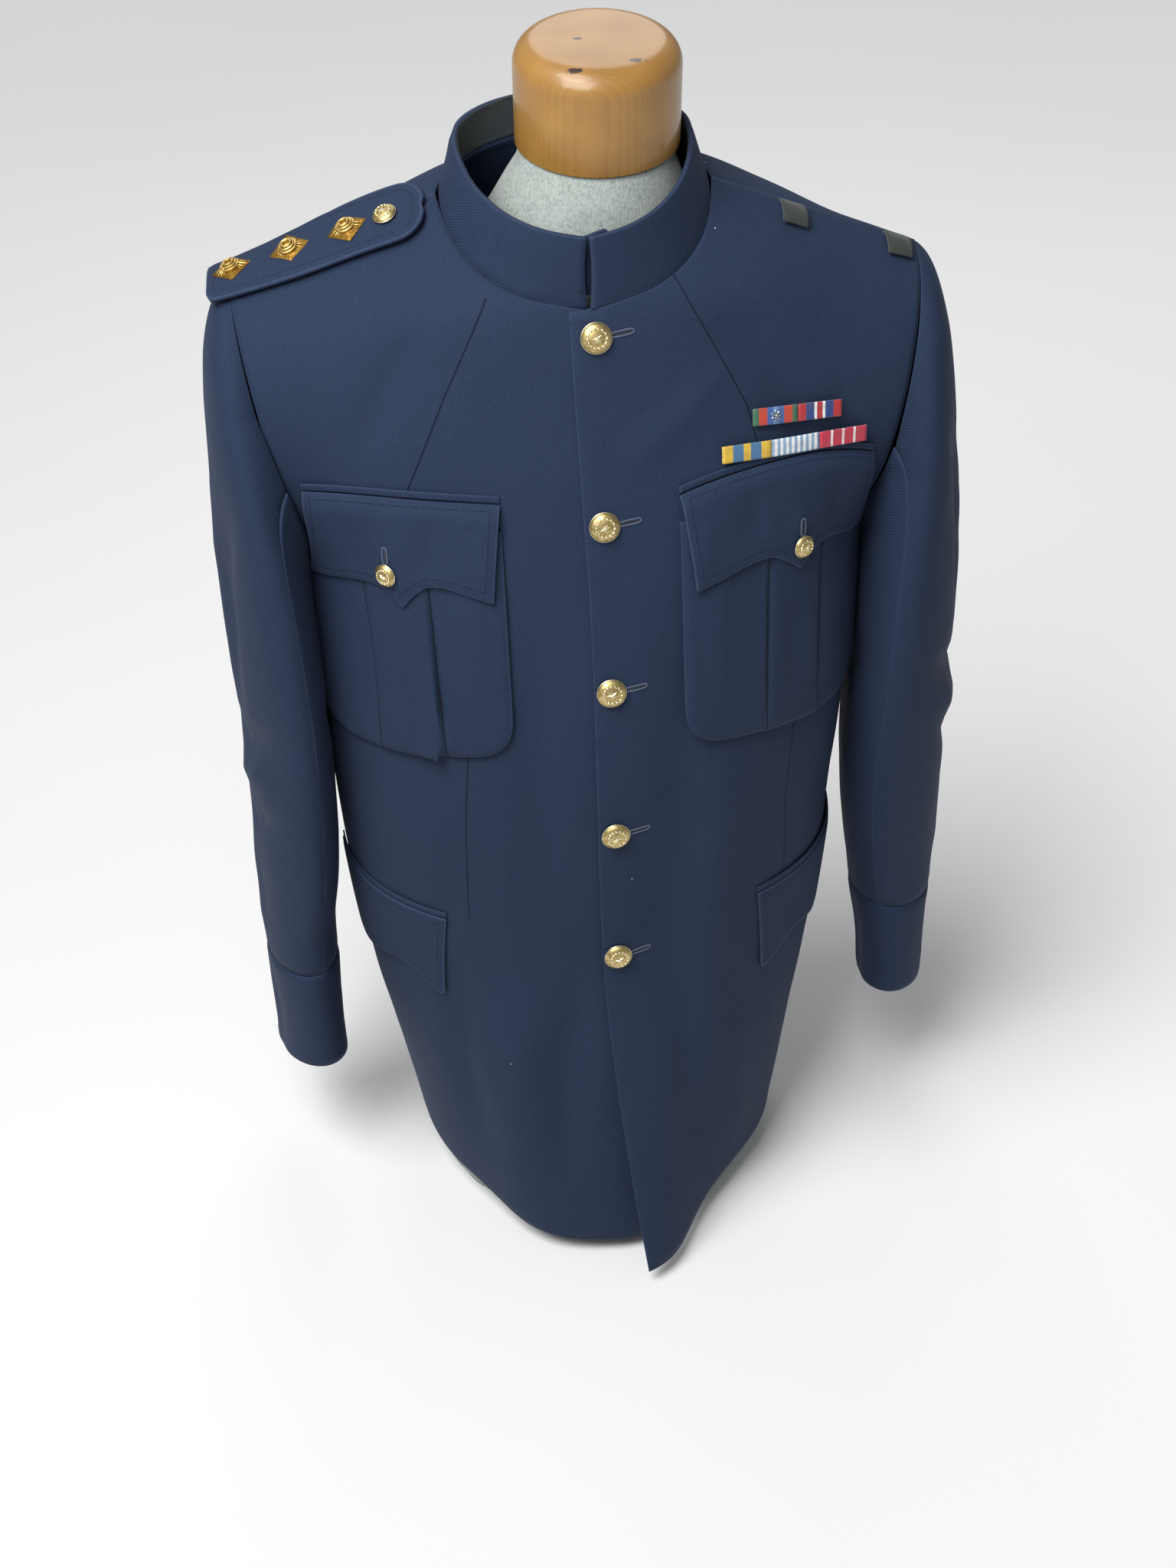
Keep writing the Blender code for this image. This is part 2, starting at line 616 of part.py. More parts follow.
def flap_top(pocket, part):
    return FLAP_TOP + pocket.arch * math.sin(math.pi * part) ** 0.8


def pocket_x(pocket, middle_x, part, z):
    """Where a part of a pocket's width lies: 0.5 at its middle, and 1 short of the armhole."""
    edge = front_point(POCKET_SIDE, find_level(POCKET_SIDE, z, pocket.side), pocket.side > 0)
    limit = abs(settle(edge, pocket.side).x)
    if part < 0.5:
        return pocket.side * (pocket.inner_x + (middle_x - pocket.inner_x) * part * 2)
    return pocket.side * (middle_x + (min(pocket.outer_x, limit) - middle_x) * (part * 2 - 1))


def make_breast_pocket(name, pocket):
    """The patch with its box pleat, the flap over it, and the welt that the flap is sewn under."""
    side, width = pocket.side, pocket.outer_x - pocket.inner_x
    middle = 0.5
    pleat, corner = PLEAT_HALF / width, POCKET_CORNER / width
    parts = [0, corner * 0.15, corner * 0.5, corner, (corner + middle - pleat) / 2, middle - pleat - 0.01,
             middle - pleat, middle, middle + pleat, middle + pleat + 0.01, (1 - corner + middle + pleat) / 2,
             1 - corner, 1 - corner * 0.5, 1 - corner * 0.15, 1]
    places, heights = [], []
    for row in range(POCKET_ROWS + 1):
        line, high = [], []
        for part in parts:
            edge = min(part, 1 - part, corner) * width
            round_off = POCKET_CORNER - math.sqrt(POCKET_CORNER**2 - (POCKET_CORNER - edge) ** 2)
            foot = POCKET_FOOT + (POCKET_FOOT_OUTER - POCKET_FOOT) * part + round_off
            up = row / POCKET_ROWS
            z = foot + (POCKET_TOP - foot) * up
            line.append(find_place(pocket_x(pocket, pocket.middle_x, part, z), z, side))
            raised = PLEAT_PROUD * (abs(part - middle) < pleat + 0.001)
            gape = PLEAT_GAPE * fade(up, 0.0, 0.45) if side < 0 and part == middle - pleat else 0
            high.append(POCKET_LIFT + raised + gape)
        places.append(line)
        heights.append(high)
    laid_wall("breast_pocket_" + name, places, heights, PATCH, side, CLOTH_FINISH)

    places, heights = [], []
    for down in FLAP_DOWNS:
        line, high = [], []
        for part in FLAP_PARTS:
            foot = FLAP_TOP - read_edge(FLAP_EDGE, part) - pocket.droop * part
            z = flap_top(pocket, part) + (foot - flap_top(pocket, part)) * down
            inset = FLAP_INSET / width * down * (1 - 2 * part)
            line.append(find_place(pocket_x(pocket, pocket.point_x, part + inset, z), z, side))
            high.append(LIFT + FLAP_PROUD * (1 - fade(down, 0.0, FLAP_BEND)))
        places.append(line)
        heights.append(high)
    laid_wall("breast_flap_" + name, places, heights, PATCH, side, CLOTH_FINISH)

    places = []
    for rise in (WELT_CLEAR, WELT_CLEAR + WELT_HEIGHT):
        tops = [flap_top(pocket, part) + rise for part in FLAP_PARTS]
        places.append([find_place(pocket_x(pocket, pocket.point_x, part, z), z, side)
                       for part, z in zip(FLAP_PARTS, tops)])
    laid_wall("breast_welt_" + name, places, [[LIFT] * len(FLAP_PARTS)] * 2, WELT_WALL, side, CLOTH_FINISH)


def make_hip_flap(name, side):
    """The flap of a side pocket, from its point at the front round to the side seam, and its welt."""
    start = find_place(HIP_FLAP_START * side, HIP_FLAP_TOP, side)[0]
    places = []
    for down in HIP_DOWNS:
        line = []
        for part in HIP_PARTS:
            slant = HIP_SLANT * down * (1 - part) / ARMPIT_X
            across = start + slant + (HIP_FLAP_END - start) * part * (1 - slant)
            line.append((across, find_level(across, HIP_FLAP_TOP - read_edge(HIP_EDGE, part) * down, side)))
        places.append(line)
    laid_wall("hip_flap_" + name, places, [[HIP_LIFT] * len(HIP_PARTS)] * len(places), PATCH, side, CLOTH_FINISH)
    places = []
    for rise in (WELT_CLEAR, WELT_CLEAR + WELT_HEIGHT):
        line = [start + (HIP_FLAP_END - start) * part for part in HIP_PARTS]
        places.append([(across, find_level(across, HIP_FLAP_TOP + rise, side)) for across in line])
    laid_wall("hip_welt_" + name, places, [[LIFT] * len(HIP_PARTS)] * 2, WELT_WALL, side, CLOTH_FINISH)


def make_ribbons(name, bar):
    """The ribbons of one bar, side by side."""
    length = (bar.end_x - bar.start_x) / bar.ribbons
    for number in range(bar.ribbons):
        steps = [bar.start_x + length * (number + part) for part in RIBBON_PARTS]
        places = []
        for high in (-RIBBON_HALF, 0, RIBBON_HALF):
            middle = [bar.start_z + (bar.end_z - bar.start_z) * (x - bar.start_x) / (bar.end_x - bar.start_x)
                      for x in steps]
            places.append([find_place(x, z + high, 1) for x, z in zip(steps, middle)])
        laid_wall(f"ribbon_{name}_{number + 1}", places, [[RIBBON_LIFT] * len(steps)] * 3, RIBBON_WALL, 1,
                  RIBBON_FINISH)


def make_loops():
    """Two short loops of tape, sewn down at the front and back, that would hold a strap."""
    for number, start_x in enumerate(LOOP_STARTS):
        places, heights = [], []
        for part in LOOP_PARTS:
            y = LOOP_FRONT + (LOOP_BACK - LOOP_FRONT) * part
            places.append([find_place(x, y, 1, axis=1) for x in (start_x, start_x + LOOP_LENGTH)])
            heights.append([LIFT + LOOP_HUMP * math.sin(math.pi * part) ** 0.6] * 2)
        laid_wall(("strap_loop_inner", "strap_loop_outer")[number], places, heights, LOOP_WALL, 1, TAPE_FINISH)


# ---------------------------------------------------------------- collar

def collar_places():
    """Places round the neckline, from the wearer's left front end, by the back, to the right front end."""
    turns = [math.pi / 2 * step / NECK_STEPS for step in range(NECK_STEPS + 1)]
    left = [(1, False, turn) for turn in turns] + [(1, True, turn) for turn in reversed(turns[:-1])]
    right = [(-1, back, turn) for _, back, turn in reversed(left[:-1])]
    return left + right


def collar_foot(side, back, turn):
    if back:
        return settle(neckline(turn, True), side)
    return settle(front_point(0, PIT_LEVEL + NECK_STEPS * turn / (math.pi / 2), side > 0), side)


def collar_top(side, back, turn):
    aside, ahead = math.sin(turn), max(math.cos(turn), 0.0)
    if back:
        point = Vector((COLLAR_TOP_X * aside, COLLAR_TOP_BACK * ahead, COLLAR_TOP_Z + COLLAR_TOP_RISE * ahead))
    else:
        point = Vector((COLLAR_TOP_X * aside**COLLAR_POINTED, -COLLAR_TOP_FRONT * ahead**COLLAR_POINTED,
                        COLLAR_TOP_Z - COLLAR_TOP_DROP * ahead))
    return settle(point, side)


def collar_grid(low, high, rows, depth, end=0.0):
    """A grid of points round the collar between two parts of its height, a depth inside its outer face."""
    places = collar_places()
    foot = [collar_foot(*place) for place in places]
    top = [collar_top(*place) for place in places]
    lines = []
    for row in range(rows + 1):
        part = low + (high - low) * row / rows
        line = [low_end.lerp(high_end, part) + Vector((0, 0, COLLAR_LIFT)) for low_end, high_end in zip(foot, top)]
        gap = COLLAR_END + COLLAR_GAPE * math.sin(math.pi * min(max(part, 0), 1)) + end
        for first, second in ((0, 1), (-1, -2)):
            way = line[second] - line[first]
            line[first] = line[first] + way * (gap / abs(way.x))
        lines.append(line)
    inside = []
    for line in lines:
        moved = []
        for column, point in enumerate(line):
            around = line[min(column + 1, len(line) - 1)] - line[max(column - 1, 0)]
            rise = top[column] - foot[column]
            moved.append(point + rise.cross(around).normalized() * depth)
        inside.append(moved)
    return inside


def make_collar():
    add_piece("collar", wall_from_grid(collar_grid(0, 1, COLLAR_ROWS, 0),
                                       collar_grid(0, 1, COLLAR_ROWS, COLLAR_WALL)), CLOTH_FINISH)
    depth = COLLAR_WALL + SEAM
    walls = [collar_grid(LINING_LOW, LINING_HIGH, COLLAR_ROWS, inside, LINING_END)
             for inside in (depth, depth + LINING_WALL)]
    add_piece("collar_lining", wall_from_grid(*walls), LINING_FINISH)


def make_tongue():
    """The piece behind the gap of the collar's ends, a little higher than they are."""
    foot, top = collar_foot(1, False, 0.0), collar_top(1, False, 0.0)
    walls = []
    for depth in (COLLAR_WALL + TONGUE_GAP, COLLAR_WALL + TONGUE_GAP + TONGUE_WALL):
        grid = []
        for part in TONGUE_PARTS:
            middle = foot.lerp(top, part)
            line = []
            for x in TONGUE_XS:
                tall = TONGUE_RISE * part * (x > 0)
                line.append(Vector((middle.x + x, middle.y + depth + TONGUE_CURVE * x * x, middle.z + tall)))
            grid.append(line)
        walls.append(grid)
    add_piece("collar_tongue", wall_from_grid(*walls), CLOTH_FINISH)


# ---------------------------------------------------------------- metal pieces

def turned(name, profile, sides, finish, place, direction):
    """A turned piece from a profile of (radius, height), top to bottom, stood on a place."""
    mesh = bpy.data.meshes.new(name)
    mesh.from_pydata([(radius * MM, 0, height * MM) for radius, height in profile],
                     [(step, step + 1) for step in range(len(profile) - 1)], [])
    piece = bpy.data.objects.new(name, mesh)
    mesh.materials.append(finish)
    PIECES.objects.link(piece)
    screw = piece.modifiers.new("turn", "SCREW")
    screw.steps = screw.render_steps = sides
    screw.use_merge_vertices = True
    screw.merge_threshold = 0.00001
    screw.use_smooth_shade = True
    piece.rotation_euler = direction.to_track_quat("Z", "Y").to_euler()
    piece.location = Vector(place) * MM
    return piece


def make_button(name, radius, place, direction):
    """A domed button on its shank."""
    profile = [(out * radius, height * radius) for out, height in BUTTON_PROFILE]
    turned(name, profile, BUTTON_SIDES, BRASS_FINISH, place, direction)


def shoulder_height(x, y):
    """How high the wearer's right shoulder is at a place, seen from above."""
    inside = max(x, SHOULDER_END_X)
    surface = back_point if y > 0 else front_point
    place = find_place(inside, y, -1, axis=1, back=y > 0)
    return settle(surface(*place, -1 if y > 0 else False), -1).z + (x - inside) * SHOULDER_SLOPE


def strap_point(part, aside, depth=0.0):
    """A point of the strap: part along it from its outer end, aside across it. It lies along the shoulder."""
    half = STRAP_HALF_OUTER + (STRAP_HALF_INNER - STRAP_HALF_OUTER) * part
    left = (1 - part) * (STRAP_INNER[0] - STRAP_OUTER[0])
    if left < STRAP_ROUND:
        half -= STRAP_ROUND - math.sqrt(STRAP_ROUND**2 - (STRAP_ROUND - left) ** 2)
    x = STRAP_OUTER[0] + (STRAP_INNER[0] - STRAP_OUTER[0]) * part
    y = STRAP_OUTER[1] + (STRAP_INNER[1] - STRAP_OUTER[1]) * part + aside * half
    around = [shoulder_height(x, y + step) for step in (-STRAP_SAMPLE, 0, STRAP_SAMPLE)]
    return Vector((x, y, sum(around) / 3 + STRAP_CLEAR + STRAP_PROUD * aside**2 + STRAP_WALL - depth))


def strap_up(part):
    along = strap_point(part + 0.05, 0) - strap_point(part - 0.05, 0)
    return along.cross(strap_point(part, 0.3) - strap_point(part, -0.3)).normalized()


def make_strap():
    walls = [[[strap_point(part, aside, depth) for aside in STRAP_ASIDES] for part in STRAP_PARTS]
             for depth in (0, STRAP_WALL)]
    add_piece("shoulder_strap", wall_from_grid(*walls), CLOTH_FINISH)
    for number, part in enumerate(PIP_PARTS):
        up = strap_up(part)
        pip = turned(f"rank_pip_{number + 1}", PIP_PROFILE, 4, BRASS_FINISH,
                     strap_point(part, 0) + up * STRAP_TRIM_CLEAR, up)
        pip.modifiers["turn"].use_smooth_shade = False
    up = strap_up(STRAP_BUTTON_PART)
    make_button("strap_button", SMALL_BUTTON_RADIUS, strap_point(STRAP_BUTTON_PART, 0) + up * STRAP_TRIM_CLEAR, up)


def make_sprig():
    """A small leaf device on the first ribbon of the upper bar."""
    bar = RIBBON_BARS["upper"]
    x = bar.start_x + (bar.end_x - bar.start_x) / 4
    place = find_place(x, bar.start_z - 1, 1)
    direction = front_direction(*place, 1)
    height = RIBBON_LIFT + RIBBON_WALL + SPRIG_CLEAR
    turned("ribbon_sprig", SPRIG_PROFILE, SPRIG_SIDES, SILVER_FINISH, on_front(*place, 1, height), direction)


# ---------------------------------------------------------------- dress form

def make_form():
    """A limbless torso, whole and smooth, flat underneath and cut level across the neck."""
    builder = bmesh.new()
    circles = []
    count = 2 * (len(FORM) - 1)
    for step in range(count + 1):
        at = step / 2
        def read(name):
            return smooth_read([getattr(section, name) for section in FORM], at)

        circle = []
        for place in range(FORM_SIDES):
            turn = 2 * math.pi * place / FORM_SIDES
            y = (read("back") if math.cos(turn) > 0 else -read("front")) * math.cos(turn)
            x = read("middle_x") + read("half_width") * math.sin(turn)
            nod = math.tan(math.radians(read("nod")))
            circle.append(builder.verts.new((x, y, read("z") + (y - CAP_MIDDLE[1]) * nod)))
        circles.append(circle)
    builder.faces.new(circles[0])
    builder.faces.new(list(reversed(circles[-1])))
    for low, high in zip(circles, circles[1:]):
        for place in range(FORM_SIDES):
            after = (place + 1) % FORM_SIDES
            builder.faces.new([low[place], low[after], high[after], high[place]])
    return add_piece("form_body", builder, JERSEY_FINISH)


def make_cap():
    """The turned wooden block on the neck, with a well rounded upper edge."""
    profile = [(0, CAP_HEIGHT)]
    for step in range(CAP_STEPS + 1):
        turn = math.pi / 2 * step / CAP_STEPS
        profile.append((CAP_RADIUS - CAP_ROUND + CAP_ROUND * math.sin(turn),
                        CAP_HEIGHT - CAP_ROUND + CAP_ROUND * math.cos(turn)))
    profile += [(CAP_RADIUS, CAP_HOLLOW), (CAP_RADIUS - CAP_HOLLOW, 0.0), (0, 0.0)]
    tilt = math.radians(CAP_TILT)
    turned("neck_cap", profile, CAP_SIDES, WOOD_FINISH, CAP_MIDDLE, Vector((0, -math.sin(tilt), math.cos(tilt))))


# ---------------------------------------------------------------- scene start

for old in list(bpy.data.objects):
    bpy.data.objects.remove(old, do_unlink=True)

PIECES = bpy.data.collections.new("dress_tunic_on_form")
bpy.context.scene.collection.children.link(PIECES)

CLOTH_FINISH = finish_of("navy_cloth", (0.025, 0.031, 0.07), 0.85)
LINING_FINISH = finish_of("dark_lining", (0.012, 0.018, 0.018), 0.7)
BRASS_FINISH = finish_of("gilt_brass", (0.80, 0.62, 0.27), 0.28, 1.0)
JERSEY_FINISH = finish_of("grey_jersey", (0.55, 0.57, 0.58), 0.9)
WOOD_FINISH = finish_of("varnished_pine", (0.62, 0.34, 0.10), 0.3)
TAPE_FINISH = finish_of("black_tape", (0.01, 0.015, 0.013), 0.8)
RIBBON_FINISH = finish_of("ribbon_silk", (0.45, 0.08, 0.10), 0.6)
SILVER_FINISH = finish_of("silver", (0.75, 0.75, 0.73), 0.3, 1.0)


def main():
    make_front("left_front", 1, overlap=True)
    make_front("right_front", -1, overlap=False)
    make_back("back_left", 1)
    make_back("back_right", -1)
    make_sleeve("left", 1, SLEEVE_LEFT)
    make_sleeve("right", -1, SLEEVE_RIGHT)
    make_collar()
    make_tongue()
    for name, pocket in POCKETS.items():
        make_breast_pocket(name, pocket)
        make_hip_flap(name, pocket.side)
        place = find_place(pocket.button_x * pocket.side, FLAP_BUTTON_Z, pocket.side)
        make_button("pocket_button_" + name, SMALL_BUTTON_RADIUS,
                    on_front(*place, pocket.side, LIFT + FLAP_PROUD + PATCH + FLAP_BUTTON_CLEAR),
                    front_direction(*place, pocket.side))
    for number, z in enumerate(BUTTON_ZS):
        place = find_place(BUTTON_X, z, 1)
        make_button(f"front_button_{number + 1}", BUTTON_RADIUS, on_front(*place, 1, BUTTON_CLEAR),
                    front_direction(*place, 1))
    for name, bar in RIBBON_BARS.items():
        make_ribbons(name, bar)
    make_sprig()
    make_loops()
    make_strap()
    make_form()
    make_cap()


main()
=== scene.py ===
"""The looks of a military dress tunic on a limbless dress form, laid out as a Blender add-on."""
import math
from collections import namedtuple

import bmesh
import bpy
from bpy.props import FloatProperty, FloatVectorProperty, PointerProperty
from mathutils import Matrix, Vector, noise
from mathutils.bvhtree import BVHTree
from mathutils.kdtree import KDTree


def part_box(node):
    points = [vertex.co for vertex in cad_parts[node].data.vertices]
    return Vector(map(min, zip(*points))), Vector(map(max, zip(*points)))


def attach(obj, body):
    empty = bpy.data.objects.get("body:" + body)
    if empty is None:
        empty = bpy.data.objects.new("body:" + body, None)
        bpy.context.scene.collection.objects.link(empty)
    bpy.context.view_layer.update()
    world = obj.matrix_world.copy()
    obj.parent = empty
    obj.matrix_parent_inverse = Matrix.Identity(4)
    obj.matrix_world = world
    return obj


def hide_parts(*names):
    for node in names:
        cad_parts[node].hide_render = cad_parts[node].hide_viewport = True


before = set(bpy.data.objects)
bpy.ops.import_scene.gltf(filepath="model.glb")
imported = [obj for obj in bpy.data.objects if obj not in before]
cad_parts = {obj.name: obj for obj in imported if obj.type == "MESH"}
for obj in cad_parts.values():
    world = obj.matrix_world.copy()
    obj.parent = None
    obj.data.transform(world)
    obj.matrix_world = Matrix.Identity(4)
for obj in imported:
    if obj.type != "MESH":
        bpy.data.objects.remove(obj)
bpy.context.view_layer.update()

bl_info = {
    "name": "Dress Tunic on a Dress Form",
    "version": (1, 0, 0),
    "blender": (4, 5, 0),
    "location": "View3D > Sidebar > Dress Tunic",
    "description": "Builds the cloth, metal, ribbons, form and stage round the packed frame",
    "category": "Object",
}

MM = 0.001

# ---------------------------------------------------------------- the cut, seams and folds, in millimetres

# width, length: the rectangle of the flat cut. share: how much of it the pattern fills. wall: its thickness.
# press: how far the edge is sewn down. finer: how often its grid is halved.
Cut = namedtuple("Cut", "width length share wall press held finer")
BODY_CUTS = {
    "left_front": Cut(330, 800, 0.73, 2.0, 0.5, "draped", 3),
    "right_front": Cut(345, 800, 0.75, 2.0, 0.5, "draped", 3),
    "back_left": Cut(265, 790, 0.84, 2.0, 0.8, "draped", 3),
    "back_right": Cut(265, 790, 0.84, 2.0, 0.8, "draped", 3),
}
SLEEVE_CUTS = {
    "top_sleeve_left": Cut(260, 560, 0.74, 2.0, 0.7, "hung", 3),
    "top_sleeve_right": Cut(245, 560, 0.75, 2.0, 0.7, "hung", 3),
    "under_sleeve_left": Cut(170, 430, 0.89, 2.0, 0.7, "hung", 3),
    "under_sleeve_right": Cut(170, 430, 0.87, 2.0, 0.7, "hung", 3),
    "cuff_left": Cut(290, 100, 0.91, 2.0, 0.7, "hung", 3),
    "cuff_right": Cut(290, 100, 0.91, 2.0, 0.7, "hung", 3),
}
COLLAR_CUTS = {
    "collar": Cut(500, 60, 0.63, 3.0, 0.4, "folded", 3),
    "collar_lining": Cut(440, 50, 0.60, 0.9, 0.0, "folded", 3),
    "collar_tongue": Cut(26, 46, 0.77, 1.5, 0.2, "folded", 3),
}
POCKET_CUTS = {
    "breast_pocket_": Cut(180, 170, 0.95, 2.6, 1.5, "laid", 3),
    "breast_flap_": Cut(150, 80, 0.78, 1.7, 0.4, "laid", 3),
    "breast_welt_": Cut(150, 10, 0.5, 1.2, 0.5, "laid", 2),
    "hip_flap_": Cut(150, 76, 0.85, 1.7, 0.5, "laid", 3),
    "hip_welt_": Cut(150, 10, 0.5, 1.2, 0.5, "laid", 2),
}
STRAP_CUTS = {
    "shoulder_strap": Cut(150, 56, 0.9, 3.0, 0.8, "laid", 3),
    "strap_loop_inner": Cut(20, 20, 0.95, 1.2, 0.2, "stretched", 2),
    "strap_loop_outer": Cut(20, 20, 0.95, 1.2, 0.2, "stretched", 2),
}

# darts are sewn lines, as (x, z) points
DARTS = {
    "right_front": [[(-58, 743), (-88, 686), (-119, 619)], [(-89, 450), (-94, 385), (-96, 320), (-96, 300)]],
    "left_front": [[(58, 751), (80, 712), (103, 668), (110, 640)], [(139, 455), (132, 378), (135, 305)]],
    "breast_pocket_right": [[(-108, 580), (-106, 510), (-103, 440)], [(-150, 580), (-147, 440)]],
    "breast_pocket_left": [[(117, 590), (115, 445)], [(157, 590), (155, 440)]],
}

# folds: outwards is a ridge and inwards a trough. The path is (x, z) on the body and (y, z) on a sleeve.
Fold = namedtuple("Fold", "width out path")
FOLDS = {
    "left_front": [
        Fold(20, -4.8, [(50, 560), (56, 430), (44, 300), (48, 190)]),
        Fold(16, 3.8, [(84, 430), (80, 330), (74, 240), (80, 120)]),
        Fold(13, -4.2, [(60, 250), (58, 150), (66, 40)]),
        Fold(12, 3.5, [(96, 210), (100, 110), (104, 50)]),
        Fold(11, -3.2, [(165, 560), (150, 500), (140, 470)]),
        Fold(14, -3.5, [(150, 640), (120, 690), (84, 726)]),
        Fold(9, 1.9, [(20, 640), (60, 668), (96, 700)]),
        Fold(15, -2.6, [(150, 420), (166, 350), (168, 300)]),
    ],
    "right_front": [
        Fold(15, -5.1, [(-20, 260), (-34, 170), (-36, 60)]),
        Fold(18, 5.1, [(-62, 250), (-70, 150), (-72, 40)]),
        Fold(12, -4.5, [(-104, 250), (-108, 170), (-98, 80)]),
        Fold(16, -3.2, [(-36, 560), (-44, 440), (-40, 330)]),
        Fold(13, -3.5, [(-170, 600), (-158, 520), (-150, 480)]),
        Fold(12, -2.6, [(-150, 640), (-118, 700), (-96, 735)]),
        Fold(15, 2.6, [(-120, 420), (-124, 350), (-132, 310)]),
    ],
    "back_left": [
        Fold(16, -4.8, [(40, 330), (46, 220), (40, 90)]),
        Fold(20, 4.8, [(80, 300), (90, 180), (92, 60)]),
        Fold(14, -3.8, [(120, 380), (110, 300), (112, 180)]),
        Fold(12, -3.8, [(170, 560), (140, 480), (112, 430)]),
        Fold(15, -3.2, [(140, 690), (110, 640), (90, 560)]),
        Fold(10, 2.6, [(30, 470), (70, 440), (110, 430)]),
    ],
    "back_right": [
        Fold(18, -5.1, [(-46, 350), (-40, 230), (-52, 70)]),
        Fold(18, 4.2, [(-90, 280), (-84, 160), (-90, 50)]),
        Fold(13, -4.2, [(-128, 360), (-120, 250), (-122, 150)]),
        Fold(13, -4.2, [(-168, 570), (-136, 500), (-104, 440)]),
        Fold(16, -2.9, [(-150, 700), (-116, 630), (-96, 590)]),
        Fold(9, 2.2, [(-24, 500), (-60, 462), (-100, 452)]),
    ],
    "top_sleeve_left": [
        Fold(15, -4.2, [(-60, 640), (-30, 560), (-20, 470)]),
        Fold(12, 3.5, [(-20, 600), (4, 520), (0, 430)]),
        Fold(11, -4.5, [(-70, 455), (-30, 430), (20, 425)]),
        Fold(10, 3.2, [(-66, 420), (-30, 398), (10, 392)]),
        Fold(10, -3.2, [(-54, 385), (-20, 360), (12, 350)]),
        Fold(14, -3.2, [(70, 560), (50, 470), (46, 380)]),
        Fold(13, 2.9, [(20, 330), (10, 270), (12, 220)]),
    ],
    "top_sleeve_right": [
        Fold(15, -4.5, [(-66, 620), (-34, 540), (-26, 450)]),
        Fold(12, 3.2, [(-16, 610), (-4, 520), (-10, 420)]),
        Fold(11, -4.2, [(-76, 440), (-40, 412), (6, 410)]),
        Fold(10, 3.5, [(-70, 402), (-34, 380), (0, 376)]),
        Fold(10, -3.5, [(-66, 362), (-34, 338), (-6, 330)]),
        Fold(14, -3.2, [(60, 580), (44, 480), (36, 400)]),
        Fold(12, 2.6, [(-8, 320), (-14, 260), (-10, 212)]),
    ],
    "under_sleeve_left": [
        Fold(12, -2.9, [(-50, 470), (-20, 440), (20, 430)]),
        Fold(12, 2.6, [(20, 520), (10, 440), (14, 330)]),
    ],
    "under_sleeve_right": [
        Fold(12, -2.9, [(-44, 450), (-14, 424), (16, 420)]),
        Fold(12, 2.6, [(14, 520), (4, 430), (6, 320)]),
    ],
    "cuff_left": [Fold(12, -1.9, [(-10, 205), (0, 150), (0, 105)])],
    "cuff_right": [Fold(12, -2.2, [(-20, 200), (-26, 150), (-22, 100)])],
    "breast_pocket_right": [
        Fold(2.2, -3.4, [(-108, 572), (-106, 510), (-103, 440)]),
        Fold(2.0, -1.6, [(-150, 570), (-147, 440)]),
        Fold(5, 2.4, [(-106, 478), (-103, 458), (-101, 448)]),
        Fold(7, -1.8, [(-126, 500), (-118, 470), (-116, 448)]),
        Fold(6, 1.8, [(-140, 480), (-134, 458), (-133, 446)]),
        Fold(10, 1.4, [(-84, 590), (-80, 520), (-84, 470)]),
        Fold(9, -1.2, [(-160, 540), (-152, 500), (-150, 460)]),
    ],
    "breast_pocket_left": [
        Fold(2.0, -2.2, [(117, 580), (115, 450)]),
        Fold(2.0, -2.2, [(157, 576), (155, 448)]),
        Fold(9, 1.4, [(84, 585), (80, 520), (82, 470)]),
        Fold(8, -1.2, [(136, 540), (134, 500), (136, 462)]),
        Fold(8, 1.2, [(168, 545), (166, 500), (166, 460)]),
    ],
    "breast_flap_right": [
        Fold(9, -1.6, [(-104, 612), (-106, 590), (-106, 572)]),
        Fold(9, 1.4, [(-76, 606), (-72, 585), (-70, 566)]),
        Fold(9, -1.4, [(-150, 608), (-152, 585), (-154, 564)]),
        Fold(8, 1.6, [(-128, 600), (-126, 580), (-125, 560)]),
    ],
    "breast_flap_left": [
        Fold(9, -1.6, [(104, 618), (106, 600), (106, 584)]),
        Fold(9, 1.4, [(74, 606), (72, 585), (70, 566)]),
        Fold(9, -1.4, [(164, 618), (166, 595), (168, 570)]),
        Fold(8, 1.6, [(137, 600), (137, 580), (137, 560)]),
    ],
    "hip_flap_right": [Fold(12, -1.2, [(-140, 290), (-142, 265), (-142, 244)])],
    "hip_flap_left": [Fold(12, -1.2, [(144, 290), (146, 265), (147, 242)])],
}
# where a sleeve's inner front is fuller: the way to the body, its middle and half size, its reach up and its depth
Full = namedtuple("Full", "name side middle_x half_width half_depth middle_z reach depth")
FULLNESS = [
    Full("sleeve_right", 1, -222, 27, 80, 460, 210, 18.0),
    Full("sleeve_left", -1, 240, 36, 80, 410, 190, 17.0),
]
# cloth is never quite even between its folds: how far it strays and over what, and how near an edge this fades
UNEVEN, UNEVEN_EDGE_MM = [(1.3, 75), (0.4, 27)], 8
STRAP_LEVEL, STRAP_MIDDLE_Y = 0.2, -4.0     # the strap's back half is stiff, and lies more level than the shoulder
LOWERED = {"collar": 1.3}           # the collar's foot is sewn into the neckline
